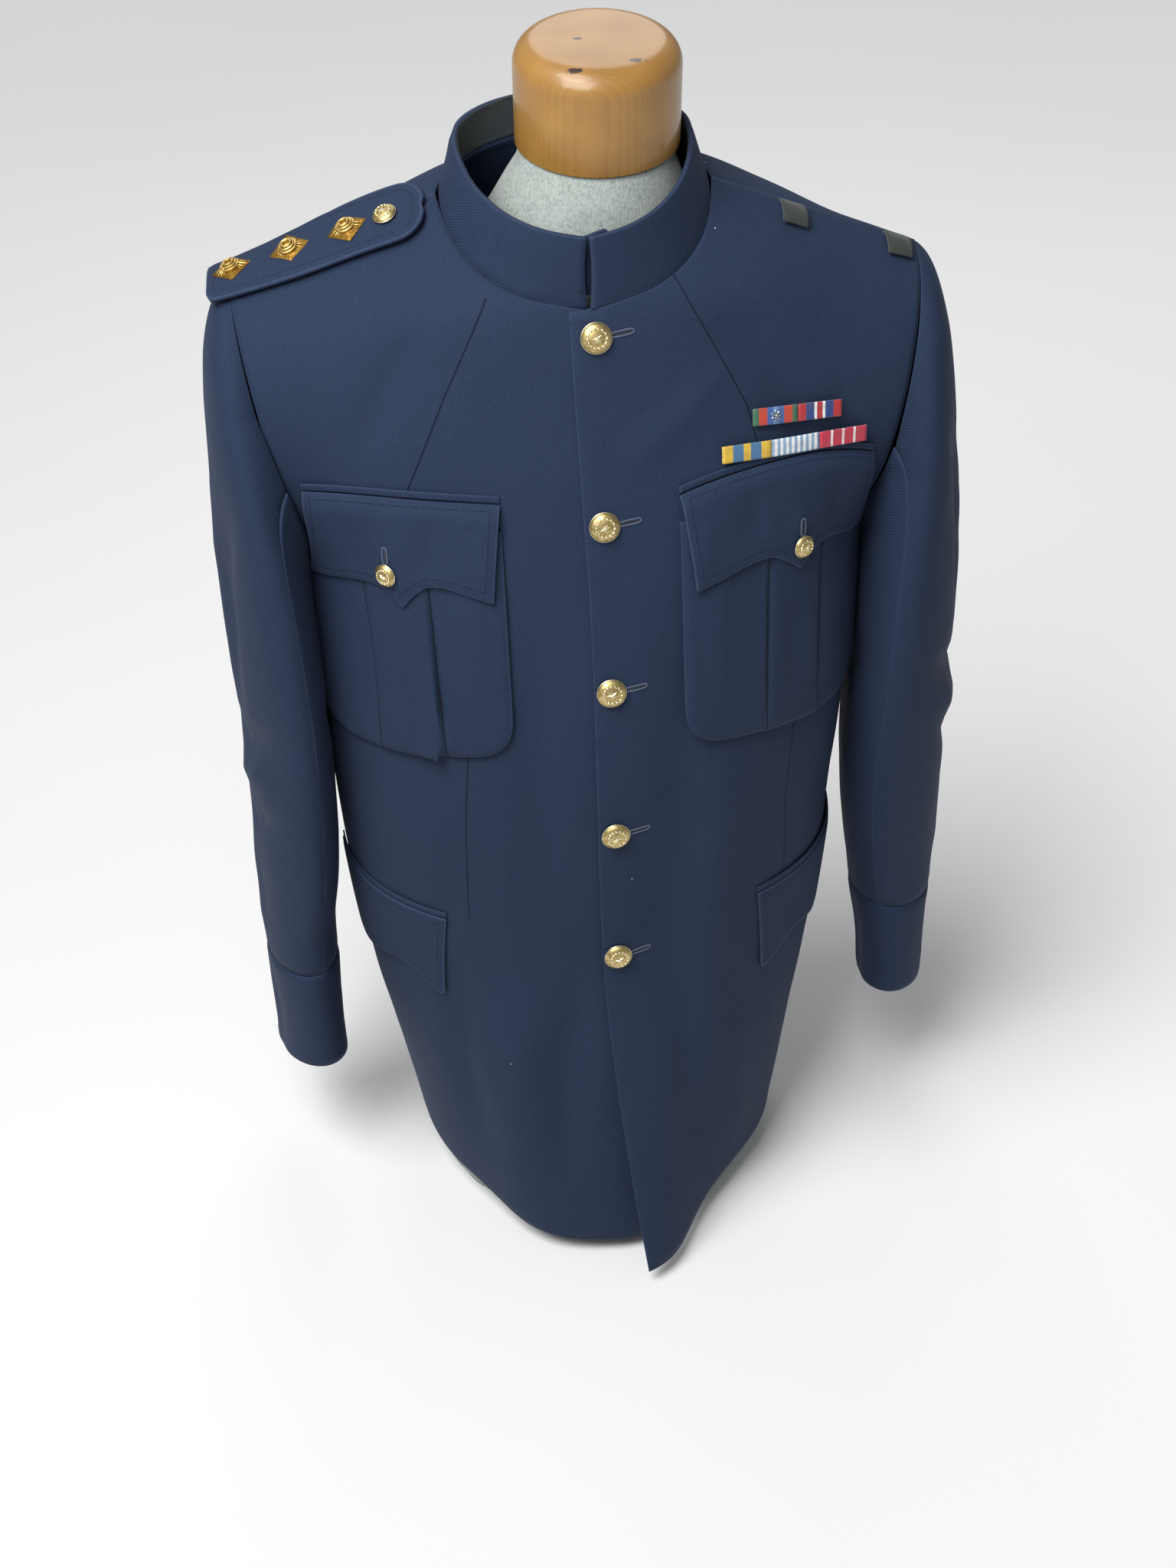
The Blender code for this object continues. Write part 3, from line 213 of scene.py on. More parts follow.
# how many widths a fold reaches aside, the share of it that fades at each end, and how low it is at its very end
FOLD_REACH, FOLD_END, FOLD_LEAST = 3, 0.3, 0.15
PRESS_WIDTH_MM = 3.2
SHARP_ANGLE = math.radians(66)      # faces that meet at more than this are a wall's face and its edge
CORNER_TURN = math.radians(50)      # a border that turns more than this has a cut corner
LEAST_UP = 0.3                      # the upward part of the normal of a strap's top
ROUNDED = {"shoulder_strap", "collar_tongue"}
EDGE_PARTS = 6                      # the parts of a border edge that distances are measured from
FAR_MM = 900.0

# stripes of the ribbons, from the wearer's centre outwards: colour and share of the width
STRIPES = {
    "ribbon_upper_1": [("2f6b4f", 2), ("c2412f", 3), ("3d5f9e", 2), ("5f88b8", 2), ("3d5f9e", 2),
                       ("c2412f", 3), ("2f6b4f", 2)],
    "ribbon_upper_2": [("b3242e", 3), ("22407f", 3), ("e9e9e6", 1), ("b3242e", 2), ("e9e9e6", 1),
                       ("22407f", 3), ("b3242e", 3)],
    "ribbon_lower_1": [("d9b23c", 3), ("44749c", 3), ("d9b23c", 2), ("44749c", 3), ("d9b23c", 3)],
    "ribbon_lower_2": [("eceeee" if stripe % 2 else "8aa9c8", 1) for stripe in range(17)],
    "ribbon_lower_3": [("c02c46", 5), ("ecdfe0", 1), ("c02c46", 4), ("ecdfe0", 1), ("c02c46", 4),
                       ("ecdfe0", 1), ("c02c46", 5)],
}
RIBBON_CUT = Cut(35, 12, 1.0, 1.6, 0.3, "laid", 2)

# the way each front buttonhole and flap slit runs from its button, in millimetres, and the thread's two radii
HOLE_START, HOLE_LENGTH, HOLE_WIDTH, HOLE_RISE, HOLE_WAY = 9.0, 15.0, 1.5, 0.5, (0.99, 0.12)
SLIT_START, SLIT_LENGTH, SLIT_WAY = 7.0, 12.0, (0.0, 1.0)
HOLE_STEPS, SLIT_STEPS, SLIT_INSET = 28, 8, 0.08
RING_RADIUS, RING_LIFT, SLIT_RADIUS, SLIT_SINK = 0.6, 0.25, 0.5, 0.1

# metal, in shares of each piece's radius. A pip's lozenge has a flat top, a rise, and rings of a size and height.
PIP_TOP, PIP_RISE, PIP_RAYS = 0.3, 0.2, 24
PIP_RINGS = [(0.44, 0.20), (0.34, 0.29), (0.22, 0.36)]
BUTTON_RISE, LEAVES, LEAF_REACH, LEAF_RADIUS, LEAF_TURN = 0.46, 14, 0.62, 0.12, math.radians(62)
STAR_POINTS, STAR_REACH, STAR_RADIUS, STAR_LENGTH = 8, 0.2, 0.1, 0.34
BUTTON_STAND_MM, BUTTON_TURN, PIP_STAND_MM, PIP_TURN = 1.6, 0.37, 0.3, math.radians(3)
SPRIG_LEAVES = 7
LARGE_BUTTON_MM, SMALL_BUTTON_MM, PIP_MM = 9.7, 7.6, 13.6

# the lights: size is a width in metres, or the angle of a sun
Light = namedtuple("Light", "name kind size power place")
LIGHTS = [
    Light("window", "SUN", math.radians(32), 1.8, (-1.0, -0.8, 3.0)),
    Light("key", "AREA", 0.6, 9, (-0.4, -0.65, 1.35)),
    Light("rear", "AREA", 1.2, 9, (0.2, 1.5, 2.1)),
]
LIT_PLACE = Vector((0.0, -0.05, 0.62))

# the form's neck widens softly into its shoulders
NECK_FULL_Z, NECK_FULL_REACH, NECK_FULL_MM, NECK_ASIDE_MM = 764.0, 42.0, 10.0, 2.5

# materials: the length of a texture's diagonal and plain directions, lint, stitches, and the heart of the pine
RIB_WAYS = {"DIAGONAL": math.sqrt(3), "X": 2.0, "Z": 2.0}
LINT_RADIUS, LINT_RARITY = 0.035, 0.86
STITCH_LENGTH_MM = 2.6
HEART = (-0.012, -0.03, 0.0)

# the wooden cap
CAP_TILT = math.radians(10)
CAP_BASE = Vector((20, 5, 815)) * MM
CAP_RADIUS_MM, CAP_HEIGHT_MM, CAP_ROUND_MM = 52.0, 64.0, 15.0
CHIPS = [((2, -44, 871), (13, 5, 6)), ((40, -37, 872), (13, 5, 5)), ((8, -6, 879), (6, 5, 7)),
         ((-28, 12, 867), (7, 6, 6)), ((56, 28, 862), (9, 8, 8)), ((16, -56, 828), (9, 4, 3))]


# ---------------------------------------------------------------- settings a user would change

def colour_setting(name, description, hex_code):
    """A colour property with an sRGB hex colour for its default."""
    return FloatVectorProperty(name=name, description=description, subtype="COLOR", size=3, min=0, max=1,
                               default=tuple(linear(hex_code)[:3]))


def linear(hex_code):
    """An sRGB hex colour as linear RGBA."""
    parts = [int(hex_code[start:start + 2], 16) / 255 for start in (0, 2, 4)]
    return tuple(part / 12.92 if part <= 0.04045 else ((part + 0.055) / 1.055) ** 2.4 for part in parts) + (1.0,)


class ClothSettings(bpy.types.PropertyGroup):
    # colour is the lit face of the cloth, and deep is painted shade between the twill's ribs
    colour: colour_setting("Cloth", "Colour of the lit gabardine", "24334b")
    deep: colour_setting("Deep cloth", "Colour between the twill's ribs", "182035")
    rib_mm: FloatProperty(name="Twill rib", description="Spacing of the twill's ribs in mm", default=1.3, min=0.3)
    stitch_mm: FloatProperty(name="Stitch inset", description="Stitching's distance from an edge in mm",
                             default=5.5, min=1)


class FormSettings(bpy.types.PropertyGroup):
    jersey: colour_setting("Jersey", "Colour of the form's cover", "9ea6a1")
    pine: colour_setting("Pine", "Colour of the varnished cap", "966c2e")


class StageSettings(bpy.types.PropertyGroup):
    floor: colour_setting("Floor", "Colour of the floor", "f2f2f2")
    brightness: FloatProperty(name="Brightness", description="How bright all the lights are together", default=1,
                              min=0)
    lens: FloatProperty(name="Lens", description="Focal length on a 36 mm high sensor", default=47.46, min=10)


# ---------------------------------------------------------------- materials

def add_node(tree, kind, links=None, **settings):
    """Add a node with its settings. Links gives inputs by name or number: a value or another node's output."""
    made = tree.nodes.new("ShaderNode" + kind)
    for name, value in settings.items():
        setattr(made, name, value)
    for name, value in (links or {}).items():
        if isinstance(value, bpy.types.NodeSocket):
            tree.links.new(value, made.inputs[name])
        else:
            made.inputs[name].default_value = value
    return made


def new_material(name, **shader_values):
    """A material with a Principled shader whose constant values are set on its own sockets."""
    material = bpy.data.materials.new(name)
    material.use_nodes = True
    tree = material.node_tree
    shader = tree.nodes["Principled BSDF"]
    for socket, value in shader_values.items():
        shader.inputs[socket.replace("_", " ")].default_value = value
    coordinates = add_node(tree, "TexCoord").outputs["Object"]
    return material, tree, shader, coordinates


def noise_of(tree, place, scale, detail=2.0, **inputs):
    """A noise texture's value."""
    inputs = {name.replace("_", " "): value for name, value in inputs.items()}
    return add_node(tree, "TexNoise", {"Vector": place, "Scale": scale, "Detail": detail, **inputs}).outputs["Fac"]


def ribs_of(tree, place, rib_mm, way="DIAGONAL", **inputs):
    """Bands this many millimetres apart, across X, Z or the diagonal."""
    scale = 2 * math.pi / (10 * RIB_WAYS[way] * rib_mm * MM)
    return add_node(tree, "TexWave", {"Vector": place, "Scale": scale, **inputs}, bands_direction=way).outputs["Fac"]


def worked_out(tree, operation, *values):
    """The result of a Math node."""
    return add_node(tree, "Math", dict(enumerate(values)), operation=operation).outputs[0]


def eased(tree, value, start_mm, end_mm, first, last):
    """A value that runs smoothly from first to last between two distances in millimetres."""
    return add_node(tree, "MapRange", {"Value": value, "From Min": start_mm * MM, "From Max": end_mm * MM,
                                       "To Min": first, "To Max": last}, interpolation_type="SMOOTHSTEP").outputs[0]


def attribute_of(tree, name):
    """The value of an attribute of the cloth."""
    return add_node(tree, "Attribute", attribute_name=name).outputs["Fac"]


def ramp(tree, source, stops, interpolation="LINEAR"):
    """A colour ramp of (place, colour) stops."""
    made = add_node(tree, "ValToRGB", {"Fac": source})
    elements = made.color_ramp.elements
    made.color_ramp.interpolation = interpolation
    for number, (place, colour) in enumerate(stops):
        element = elements[number] if number < len(elements) else elements.new(place)
        element.position, element.color = place, colour
    return made.outputs["Color"]


def grey(level):
    """A grey as linear RGBA."""
    return (level, level, level, 1)


def mixed(tree, factor, first, second, blend="MIX"):
    """Two colours mixed."""
    made = add_node(tree, "Mix", data_type="RGBA", blend_type=blend)
    for socket, value in ((made.inputs[0], factor), (made.inputs[6], first), (made.inputs[7], second)):
        if isinstance(value, bpy.types.NodeSocket):
            tree.links.new(value, socket)
        else:
            socket.default_value = value
    return made.outputs[2]


def surface(tree, shader, colour, heights):
    """Link the colour and a chain of bumps. Each bump is a height, how deep it is in mm, and its strength."""
    tree.links.new(colour, shader.inputs["Base Color"])
    normal = None
    for height, depth_mm, strength in heights:
        links = {"Height": height, "Distance": depth_mm * MM, "Strength": strength}
        if normal is not None:
            links["Normal"] = normal
        normal = add_node(tree, "Bump", links).outputs["Normal"]
    if normal is not None:
        tree.links.new(normal, shader.inputs["Normal"])


def veil(tree, source, start, end, amount, colour, over):
    """A colour with another laid over it where a value rises from start to end."""
    return mixed(tree, ramp(tree, source, [(start, grey(0)), (end, grey(amount))]), colour, linear(over))


def wool_gabardine(name, stitched, edge_highlight):
    """Navy wool gabardine: a steep fine twill, pressed hard, with a faint nap, and a highlight painted along its edges.
    """
    settings = bpy.context.scene.tunic_cloth
    material, tree, shader, place = new_material(
        name, Roughness=0.8, Sheen_Weight=0.06, Sheen_Roughness=0.5, Specular_IOR_Level=0.2,
        Sheen_Tint=linear("8f98b8"))
    # the twill's ribs are really 0.6 mm apart, and are drawn coarser so that they show
    twill = ribs_of(tree, place, settings.rib_mm, Distortion=0.6, Detail=1.0)
    fuzz = noise_of(tree, place, 1100.0)
    # the deep colour is painted shade in the grooves between the twill's ribs
    colour = mixed(tree, twill, (*settings.deep, 1), (*settings.colour, 1))
    colour = veil(tree, fuzz, 0.35, 0.75, 0.5, colour, "2d3c57")
    colour = veil(tree, noise_of(tree, place, 9.0, 4.0), 0.4, 0.7, 0.25, colour, "26334a")
    lint = add_node(tree, "TexVoronoi", {"Vector": place, "Scale": 55.0, "Randomness": 1.0}).outputs
    speck = worked_out(tree, "LESS_THAN", lint["Distance"], LINT_RADIUS)
    rare = worked_out(tree, "GREATER_THAN", lint["Color"], LINT_RARITY)
    colour = mixed(tree, worked_out(tree, "MULTIPLY", speck, rare), colour, linear("9aa0ad"))
    heights = [(noise_of(tree, place, 28.0), 1.6, 0.5), (twill, 0.12, 0.4), (fuzz, 0.15, 0.25)]

    # darts are pressed seams: a narrow groove at the seam's line, darkened with painted shade
    aside = worked_out(tree, "ABSOLUTE", attribute_of(tree, "seam_aside"))
    groove = eased(tree, worked_out(tree, "ADD", aside, attribute_of(tree, "seam_past")), 0.0, 0.9, 0.0, 1.0)
    colour = mixed(tree, groove, linear("161c2e"), colour)
    heights.append((groove, 0.7, 0.9))
    # a turned edge gets a painted highlight: its colour is lighter near the edge
    edge = attribute_of(tree, "edge")
    colour = mixed(tree, eased(tree, edge, 0.4, 1.6, edge_highlight, 0.0), colour, linear("4c5a7a"))
    if stitched:
        away = worked_out(tree, "ABSOLUTE", worked_out(tree, "SUBTRACT", edge, settings.stitch_mm * MM))
        line = eased(tree, away, 0.1, 0.7, 0.35, 1.0)
        thread = worked_out(tree, "MAXIMUM", line, ribs_of(tree, place, STITCH_LENGTH_MM))
        colour = mixed(tree, thread, linear("10131f"), colour)
        heights.append((line, 0.4, 0.6))
    surface(tree, shader, colour, heights)
    return material


def cotton_lining():
    """Dark green-grey plain-woven cotton: dull, with a fine even grid of threads."""
    material, tree, shader, place = new_material("plain_cotton_lining", Roughness=0.85, Sheen_Weight=0.1)
    cloud = noise_of(tree, place, 30.0, 3.0)
    surface(tree, shader, ramp(tree, cloud, [(0.3, linear("20292b")), (0.7, linear("2f3a3c"))]),
           [(ribs_of(tree, place, 0.9, "Z"), 0.1, 0.4)])
    return material


def ribbed_tape():
    """Black-green twill tape, with ribs across, each with a thin painted highlight."""
    material, tree, shader, place = new_material("ribbed_cotton_tape", Roughness=0.7, Sheen_Weight=0.2)
    rib = ribs_of(tree, place, 1.6, "X")
    surface(tree, shader, ramp(tree, rib, [(0.0, linear("10150f")), (1.0, linear("2c352f"))]), [(rib, 0.3, 0.8)])
    return material


def medal_ribbon(name):
    """Watered rayon ribbon: stripes of plain colour in a close rib that gives a soft sheen."""
    low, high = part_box(name)
    material, tree, shader, place = new_material("rayon_" + name, Roughness=0.5, Sheen_Weight=0.3,
                                                 Sheen_Roughness=0.4)
    across = add_node(tree, "SeparateXYZ", {"Vector": place}).outputs["X"]
    along = add_node(tree, "MapRange", {"Value": across, "From Min": low.x, "From Max": high.x}).outputs[0]
    total, start, stops = sum(share for _, share in STRIPES[name]), 0, []
    for hex_code, share in STRIPES[name]:
        stops.append((start / total, linear(hex_code)))
        start += share
    colour = ramp(tree, along, stops, "CONSTANT")
    colour = veil(tree, noise_of(tree, place, 240.0, 3.0), 0.4, 0.8, 0.4, colour, "6d5a52")
    surface(tree, shader, colour, [(ribs_of(tree, place, 0.7, "Z"), 0.15, 0.5)])
    return material


def gilding_metal(name, low, high, dull):
    """Stamped gilding metal: raised parts rubbed bright and pale, the ground between them browner and duller."""
    material, tree, shader, place = new_material(name, Metallic=1.0)
    tarnish = noise_of(tree, place, 520.0, 4.0)
    tree.links.new(ramp(tree, tarnish, [(0.3, grey(dull + 0.14)), (0.7, grey(dull))]), shader.inputs["Roughness"])
    surface(tree, shader, ramp(tree, tarnish, [(0.35, linear(low)), (0.65, linear(high))]), [(tarnish, 0.08, 0.35)])
    return material


def white_metal():
    """A small cast white-metal device, satin, its colour straying at random between bluish grey and pale silver."""
    material, tree, shader, place = new_material("cast_white_metal", Metallic=1.0, Roughness=0.32)
    shade = noise_of(tree, place, 600.0)
    surface(tree, shader, ramp(tree, shade, [(0.3, linear("7e8a96")), (0.7, linear("d5dadd"))]), [])
    return material


def silk_thread():
    """Navy buttonhole twist, a thicker, shinier thread than the cloth's."""
    material, tree, shader, place = new_material("silk_buttonhole_thread", Roughness=0.55, Sheen_Weight=0.3)
    twist = ribs_of(tree, place, 0.9)
    # the lighter colour on the ridges of the twist is a painted highlight
    surface(tree, shader, ramp(tree, twist, [(0.0, linear("27304a")), (1.0, linear("54607f"))]),
           [(twist, 0.25, 0.8)])
    return material


def cotton_jersey():
    """Heathered grey cotton jersey: light and dark fibres mixed, and fine upright columns of knit."""
    settings = bpy.context.scene.tunic_form
    material, tree, shader, place = new_material("heathered_cotton_jersey", Roughness=0.92, Sheen_Weight=0.25)
    squashed = add_node(tree, "Mapping", {"Vector": place, "Scale": (1.0, 1.0, 0.7)}).outputs[0]
    fibre = noise_of(tree, squashed, 700.0, 3.0)
    # knit columns are really 0.8 mm apart, and are drawn coarser so that they show
    column = ribs_of(tree, place, 1.6, "X", Distortion=1.5, Detail=2.0)
    colour = mixed(tree, ramp(tree, fibre, [(0.3, grey(0)), (0.6, grey(1))]), linear("7d8580"),
                   (*settings.jersey, 1))
    colour = veil(tree, noise_of(tree, place, 60.0, 4.0), 0.4, 0.7, 0.4, colour, "aeb5b0")
    surface(tree, shader, colour, [(column, 0.2, 0.35), (fibre, 0.2, 0.3)])
    return material


def varnished_pine():
    """Turned pine under thick honey varnish: growth rings on its end, straight grain down its side, worn dark chips."""
    settings = bpy.context.scene.tunic_form
    material, tree, shader, place = new_material("varnished_pine", Coat_Weight=0.45, Coat_Roughness=0.14,
                                                 Roughness=0.42)
    # growth rings lie round a heart that is off the cap's axis, and are 3 to 5 mm apart
    turned = add_node(tree, "Mapping", {"Vector": place, "Location": HEART, "Rotation": (CAP_TILT, 0.0, 0.0)},
                      vector_type="TEXTURE").outputs[0]
    rings = add_node(tree, "TexWave", {"Vector": turned, "Scale": 110.0, "Distortion": 1.6, "Detail": 2.0,
                                       "Detail Scale": 0.6}, wave_type="RINGS", rings_direction="Z",
                     wave_profile="SAW").outputs["Fac"]
    drawn = add_node(tree, "Mapping", {"Vector": place, "Scale": (1.0, 1.0, 0.05)}).outputs[0]
    grain = noise_of(tree, drawn, 420.0, 4.0)
    shown = ramp(tree, rings, [(0.0, grey(0.0)), (0.55, grey(0.14)), (0.92, grey(0.55)), (1.0, grey(0.1))])
    colour = mixed(tree, shown, (*settings.pine, 1), linear("7c5420"))
    colour = veil(tree, grain, 0.4, 0.75, 0.5, colour, "8a6230")
    colour = veil(tree, noise_of(tree, place, 22.0), 0.35, 0.7, 0.5, colour, "b48a48")
    # chips through the varnish gather where the rim and the top have been knocked
    chips = noise_of(tree, place, 300.0, 5.0, Roughness=0.7)
    for middle, size in CHIPS:
        near = add_node(tree, "Mapping", {"Vector": place, "Location": [part * MM for part in middle],
                                          "Scale": [part * MM for part in size]}, vector_type="TEXTURE").outputs[0]
        near = add_node(tree, "TexGradient", {"Vector": near}, gradient_type="SPHERICAL").outputs["Fac"]
        colour = veil(tree, worked_out(tree, "MULTIPLY", near, chips), 0.27, 0.33, 1, colour, "35241a")
    surface(tree, shader, colour, [(grain, 0.08, 0.2)])
    return material


MATERIALS = {
    "gabardine": lambda: wool_gabardine("wool_gabardine", False, 0.12),
    "stitched": lambda: wool_gabardine("stitched_wool_gabardine", True, 0.3),
    "lining": cotton_lining,
    "tape": ribbed_tape,
    "gilding_metal": lambda: gilding_metal("polished_gilding_metal", "d9b25c", "f3d78e", 0.3),
    "gilding_ground": lambda: gilding_metal("tarnished_gilding_metal", "7e5c22", "b98f42", 0.42),
    "button_metal": lambda: gilding_metal("rubbed_button_brass", "e6d6a6", "faf0cf", 0.26),
    "button_ground": lambda: gilding_metal("pale_button_brass", "a8935c", "dcc68c", 0.38),
    "white_metal": white_metal,
    "thread": silk_thread,
    "jersey": cotton_jersey,
    "pine": varnished_pine,
}
MADE = {}


def material_of(name):
    """A material by its short name, made the first time it is asked for."""
    if name not in MADE:
        MADE[name] = MATERIALS[name]()
    return MADE[name]


# ---------------------------------------------------------------- cloth

SKINS = {}      # the outer face of each finished cloth piece, to lay other pieces on


def link_mesh(name, builder):
    """Store a bmesh as an object of the scene."""
    mesh = bpy.data.meshes.new(name)
    builder.to_mesh(mesh)
    builder.free()
    piece = bpy.data.objects.new(name, mesh)
    bpy.context.scene.collection.objects.link(piece)
    return piece


def deselect_all():
    """Select nothing."""
    for other in list(bpy.context.selected_objects):
        other.select_set(False)


def make_only(*pieces):
    """Select these pieces and nothing else. The first one is the active one."""
    deselect_all()
    for piece in pieces:
        piece.select_set(True)
    bpy.context.view_layer.objects.active = pieces[0]


def apply_modifier(piece, kind, **settings):
    """Add a modifier with its settings and apply it."""
    modifier = piece.modifiers.new(kind.lower(), kind)
    for name, value in settings.items():
        setattr(modifier, name, value)
    make_only(piece)
    bpy.ops.object.modifier_apply(modifier=modifier.name)


def smooth_groups(builder):
    """The faces in groups that meet at less than a sharp angle."""
    left, groups = set(builder.faces), []
    while left:
        start = left.pop()
        group, queue = [start], [start]
        while queue:
            face = queue.pop()
            for edge in face.edges:
                for other in edge.link_faces:
                    if other in left and edge.calc_face_angle(0.0) < SHARP_ANGLE:
                        left.discard(other)
                        group.append(other)
                        queue.append(other)
        groups.append(group)
    return groups


def facing_out(group, upwards):
    """How much a group of faces looks away from its own middle, or up."""
    area = sum(face.calc_area() for face in group)
    middle = sum((face.calc_center_median() * face.calc_area() for face in group), Vector()) / area
    if upwards:
        return sum(face.normal.z * face.calc_area() for face in group)
    return sum(face.normal.dot(face.calc_center_median() - middle) * face.calc_area() for face in group)


def back_to_quads(builder):
    """Drop the diagonals: an edge that is the longest of both its triangles."""
    longest = {face: max(face.edges, key=lambda edge: edge.calc_length()) for face in builder.faces}
    diagonals = [edge for edge in builder.edges
                 if len(edge.link_faces) == 2 and all(longest[face] is edge for face in edge.link_faces)]
    bmesh.ops.dissolve_edges(builder, edges=diagonals, use_verts=False, use_face_split=False)


def outer_skin(node, upwards=False):
    """The outer face of a CAD wall, as an open sheet of quads."""
    builder = bmesh.new()
    builder.from_mesh(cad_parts[node].data)
    builder.transform(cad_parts[node].matrix_world)
    bmesh.ops.remove_doubles(builder, verts=builder.verts, dist=0.01 * MM)
    walls = sorted(smooth_groups(builder), key=lambda group: -sum(face.calc_area() for face in group))[:2]
    skin = set(max(walls, key=lambda group: facing_out(group, upwards)))
    if upwards:
        skin = {face for face in skin if face.normal.z > LEAST_UP}
    bmesh.ops.delete(builder, geom=[face for face in builder.faces if face not in skin], context="FACES")
    back_to_quads(builder)
    if node not in ROUNDED:
        keep_corners(builder)
    return builder


def keep_corners(builder):
    """Crease the corners of the border, so that subdivision leaves them sharp."""
    crease = builder.verts.layers.float.new("crease_vert")
    for vertex in builder.verts:
        ways = [edge.other_vert(vertex).co - vertex.co for edge in vertex.link_edges if edge.is_boundary]
        if len(ways) == 2 and ways[0].angle(-ways[1], 0.0) > CORNER_TURN:
            vertex[crease] = 1.0


def edge_distances(mesh):
    """How far each point is from the open edge of its sheet."""
    uses = {}
    for face in mesh.polygons:
        for key in face.edge_keys:
            uses[key] = uses.get(key, 0) + 1
    border = []
    for (first, second), count in uses.items():
        if count == 1:
            start, end = mesh.vertices[first].co, mesh.vertices[second].co
            border += [start.lerp(end, part / EDGE_PARTS) for part in range(EDGE_PARTS)]
    tree = KDTree(len(border))
    for number, point in enumerate(border):
        tree.insert(point, number)
    tree.balance()
    return [tree.find(vertex.co)[2] for vertex in mesh.vertices]


def line_distance(point, path):
    """How far a flat point is from a path, which part of the path is nearest, how far aside of that part's line
    it lies, and how far past its ends."""
    best = (FAR_MM, 0.0, FAR_MM, FAR_MM)
    for number, (start, end) in enumerate(zip(path, path[1:])):
        along = (end[0] - start[0], end[1] - start[1])
        length = math.hypot(*along)
        offset = (point[0] - start[0], point[1] - start[1])
        reach = (offset[0] * along[0] + offset[1] * along[1]) / length
        aside = (offset[0] * along[1] - offset[1] * along[0]) / length
        past = max(-reach, reach - length, 0.0)
        away = math.hypot(aside, past)
        if away < best[0]:
            best = (away, (number + min(max(reach / length, 0.0), 1.0)) / (len(path) - 1), aside, past)
    return best


def flat_point(name, point):
    """The point in millimetres as a sleeve is seen from its side, or anything else from the front."""
    aside = point.y if "sleeve" in name or "cuff" in name else point.x
    return aside / MM, point.z / MM


def fold_height(name, point):
    """How far the folds lift a point of the cloth, in millimetres."""
    flat, height = flat_point(name, point), 0.0
    for fold in FOLDS.get(name, []):
        away, part, _, _ = line_distance(flat, fold.path)
        if away < FOLD_REACH * fold.width:
            ends = min(part, 1 - part) / FOLD_END
            taper = FOLD_LEAST + (1 - FOLD_LEAST) * min(ends, 1.0) ** 0.8
            height += fold.out * taper * math.exp(-(away / fold.width) ** 2)
    return height


def fullness(name, point):
    """How a point of a sleeve moves because it hangs fuller towards the body at its inner front, in millimetres."""
    for full in FULLNESS:
        if full.name in name:
            way = Vector((full.side, -1, 0)).normalized()
            out = Vector(((point.x / MM - full.middle_x) / full.half_width, (point.y / MM) / full.half_depth, 0))
            near = max(1 - ((point.z / MM - full.middle_z) / full.reach) ** 2, 0.0)
            return way * (full.depth * max(out.normalized().dot(way), 0.0) ** 1.5 * near)
    return Vector()


def shape_cloth(name, piece, cut):
    """Move a sheet's points into its folds, sew its edges down, and store its edge and seam distances."""
    mesh = piece.data
    distances = edge_distances(mesh)
    normals = [vertex.normal.copy() for vertex in mesh.vertices]
    asides, pasts = [], []
    large = name in BODY_CUTS or name in SLEEVE_CUTS
    for number, vertex in enumerate(mesh.vertices):
        away = distances[number] / MM
        height, moved = fold_height(name, vertex.co), fullness(name, vertex.co)
        if large:
            for depth, size in UNEVEN:
                height += depth * noise.noise(vertex.co / (size * MM)) * min(away / UNEVEN_EDGE_MM, 1)
        height -= cut.press * math.exp(-(away / PRESS_WIDTH_MM) ** 2)
        lines = [line_distance(flat_point(name, vertex.co), path) for path in DARTS.get(name, [])]
        _, _, aside, past = min(lines, default=(FAR_MM,) * 4)
        asides.append(aside * MM)
        pasts.append(past * MM)
        if name == "shoulder_strap":
            moved.z += STRAP_LEVEL * max(vertex.co.y / MM - STRAP_MIDDLE_Y, 0.0)
        vertex.co += (normals[number] * height + moved - Vector((0, 0, LOWERED.get(name, 0)))) * MM
    for attribute, values in (("edge", distances), ("seam_aside", asides), ("seam_past", pasts)):
        mesh.attributes.new(attribute, "FLOAT", "POINT").data.foreach_set("value", values)
    mesh.update()


def make_cloth(name, cut, finish, slot_name="gabardine", upwards=False, soften=0):
    """A finished sheet of cloth that stands for a CAD wall."""
    piece = link_mesh(name + "_cloth", outer_skin(name, upwards))
    apply_modifier(piece, "SUBSURF", levels=cut.finer, render_levels=cut.finer,
                   boundary_smooth="ALL" if name in ROUNDED else "PRESERVE_CORNERS")
    if soften:
        builder = bmesh.new()
        builder.from_mesh(piece.data)
        inside = [vertex for vertex in builder.verts if name in ROUNDED or not vertex.is_boundary]
        for _ in range(soften):
            bmesh.ops.smooth_vert(builder, verts=inside, factor=0.5, use_axis_x=True, use_axis_y=True,
                                  use_axis_z=True)
        builder.to_mesh(piece.data)
        builder.free()
    shape_cloth(name, piece, cut)
    SKINS[name] = BVHTree.FromObject(piece, bpy.context.evaluated_depsgraph_get())
    solid = piece.modifiers.new("thickness", "SOLIDIFY")
    solid.thickness, solid.offset, solid.use_even_offset = cut.wall * MM, -1.0, False
    piece.data.materials.append(material_of(finish) if isinstance(finish, str) else finish)
    piece.data.shade_smooth()
    finish_piece(piece, slot_name, name)
    return piece


def finish_piece(piece, slot_name, *nodes):
    """Say which body a piece rides on, and hide the CAD nodes it stands for. Its slot_name is not used."""
    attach(piece, "root")
    if nodes:
        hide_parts(*nodes)


def on_skin(name, x, z):
    """The place on a cloth piece that is seen from the front at (x, z), and its outward direction."""
    place, normal, _, _ = SKINS[name].ray_cast(Vector((x, -0.6, z)), Vector((0, 1, 0)))
    if place is None:
        raise RuntimeError(f"{name} has no cloth at {x:.3f}, {z:.3f}")
    return place, normal if normal.y < 0 else -normal


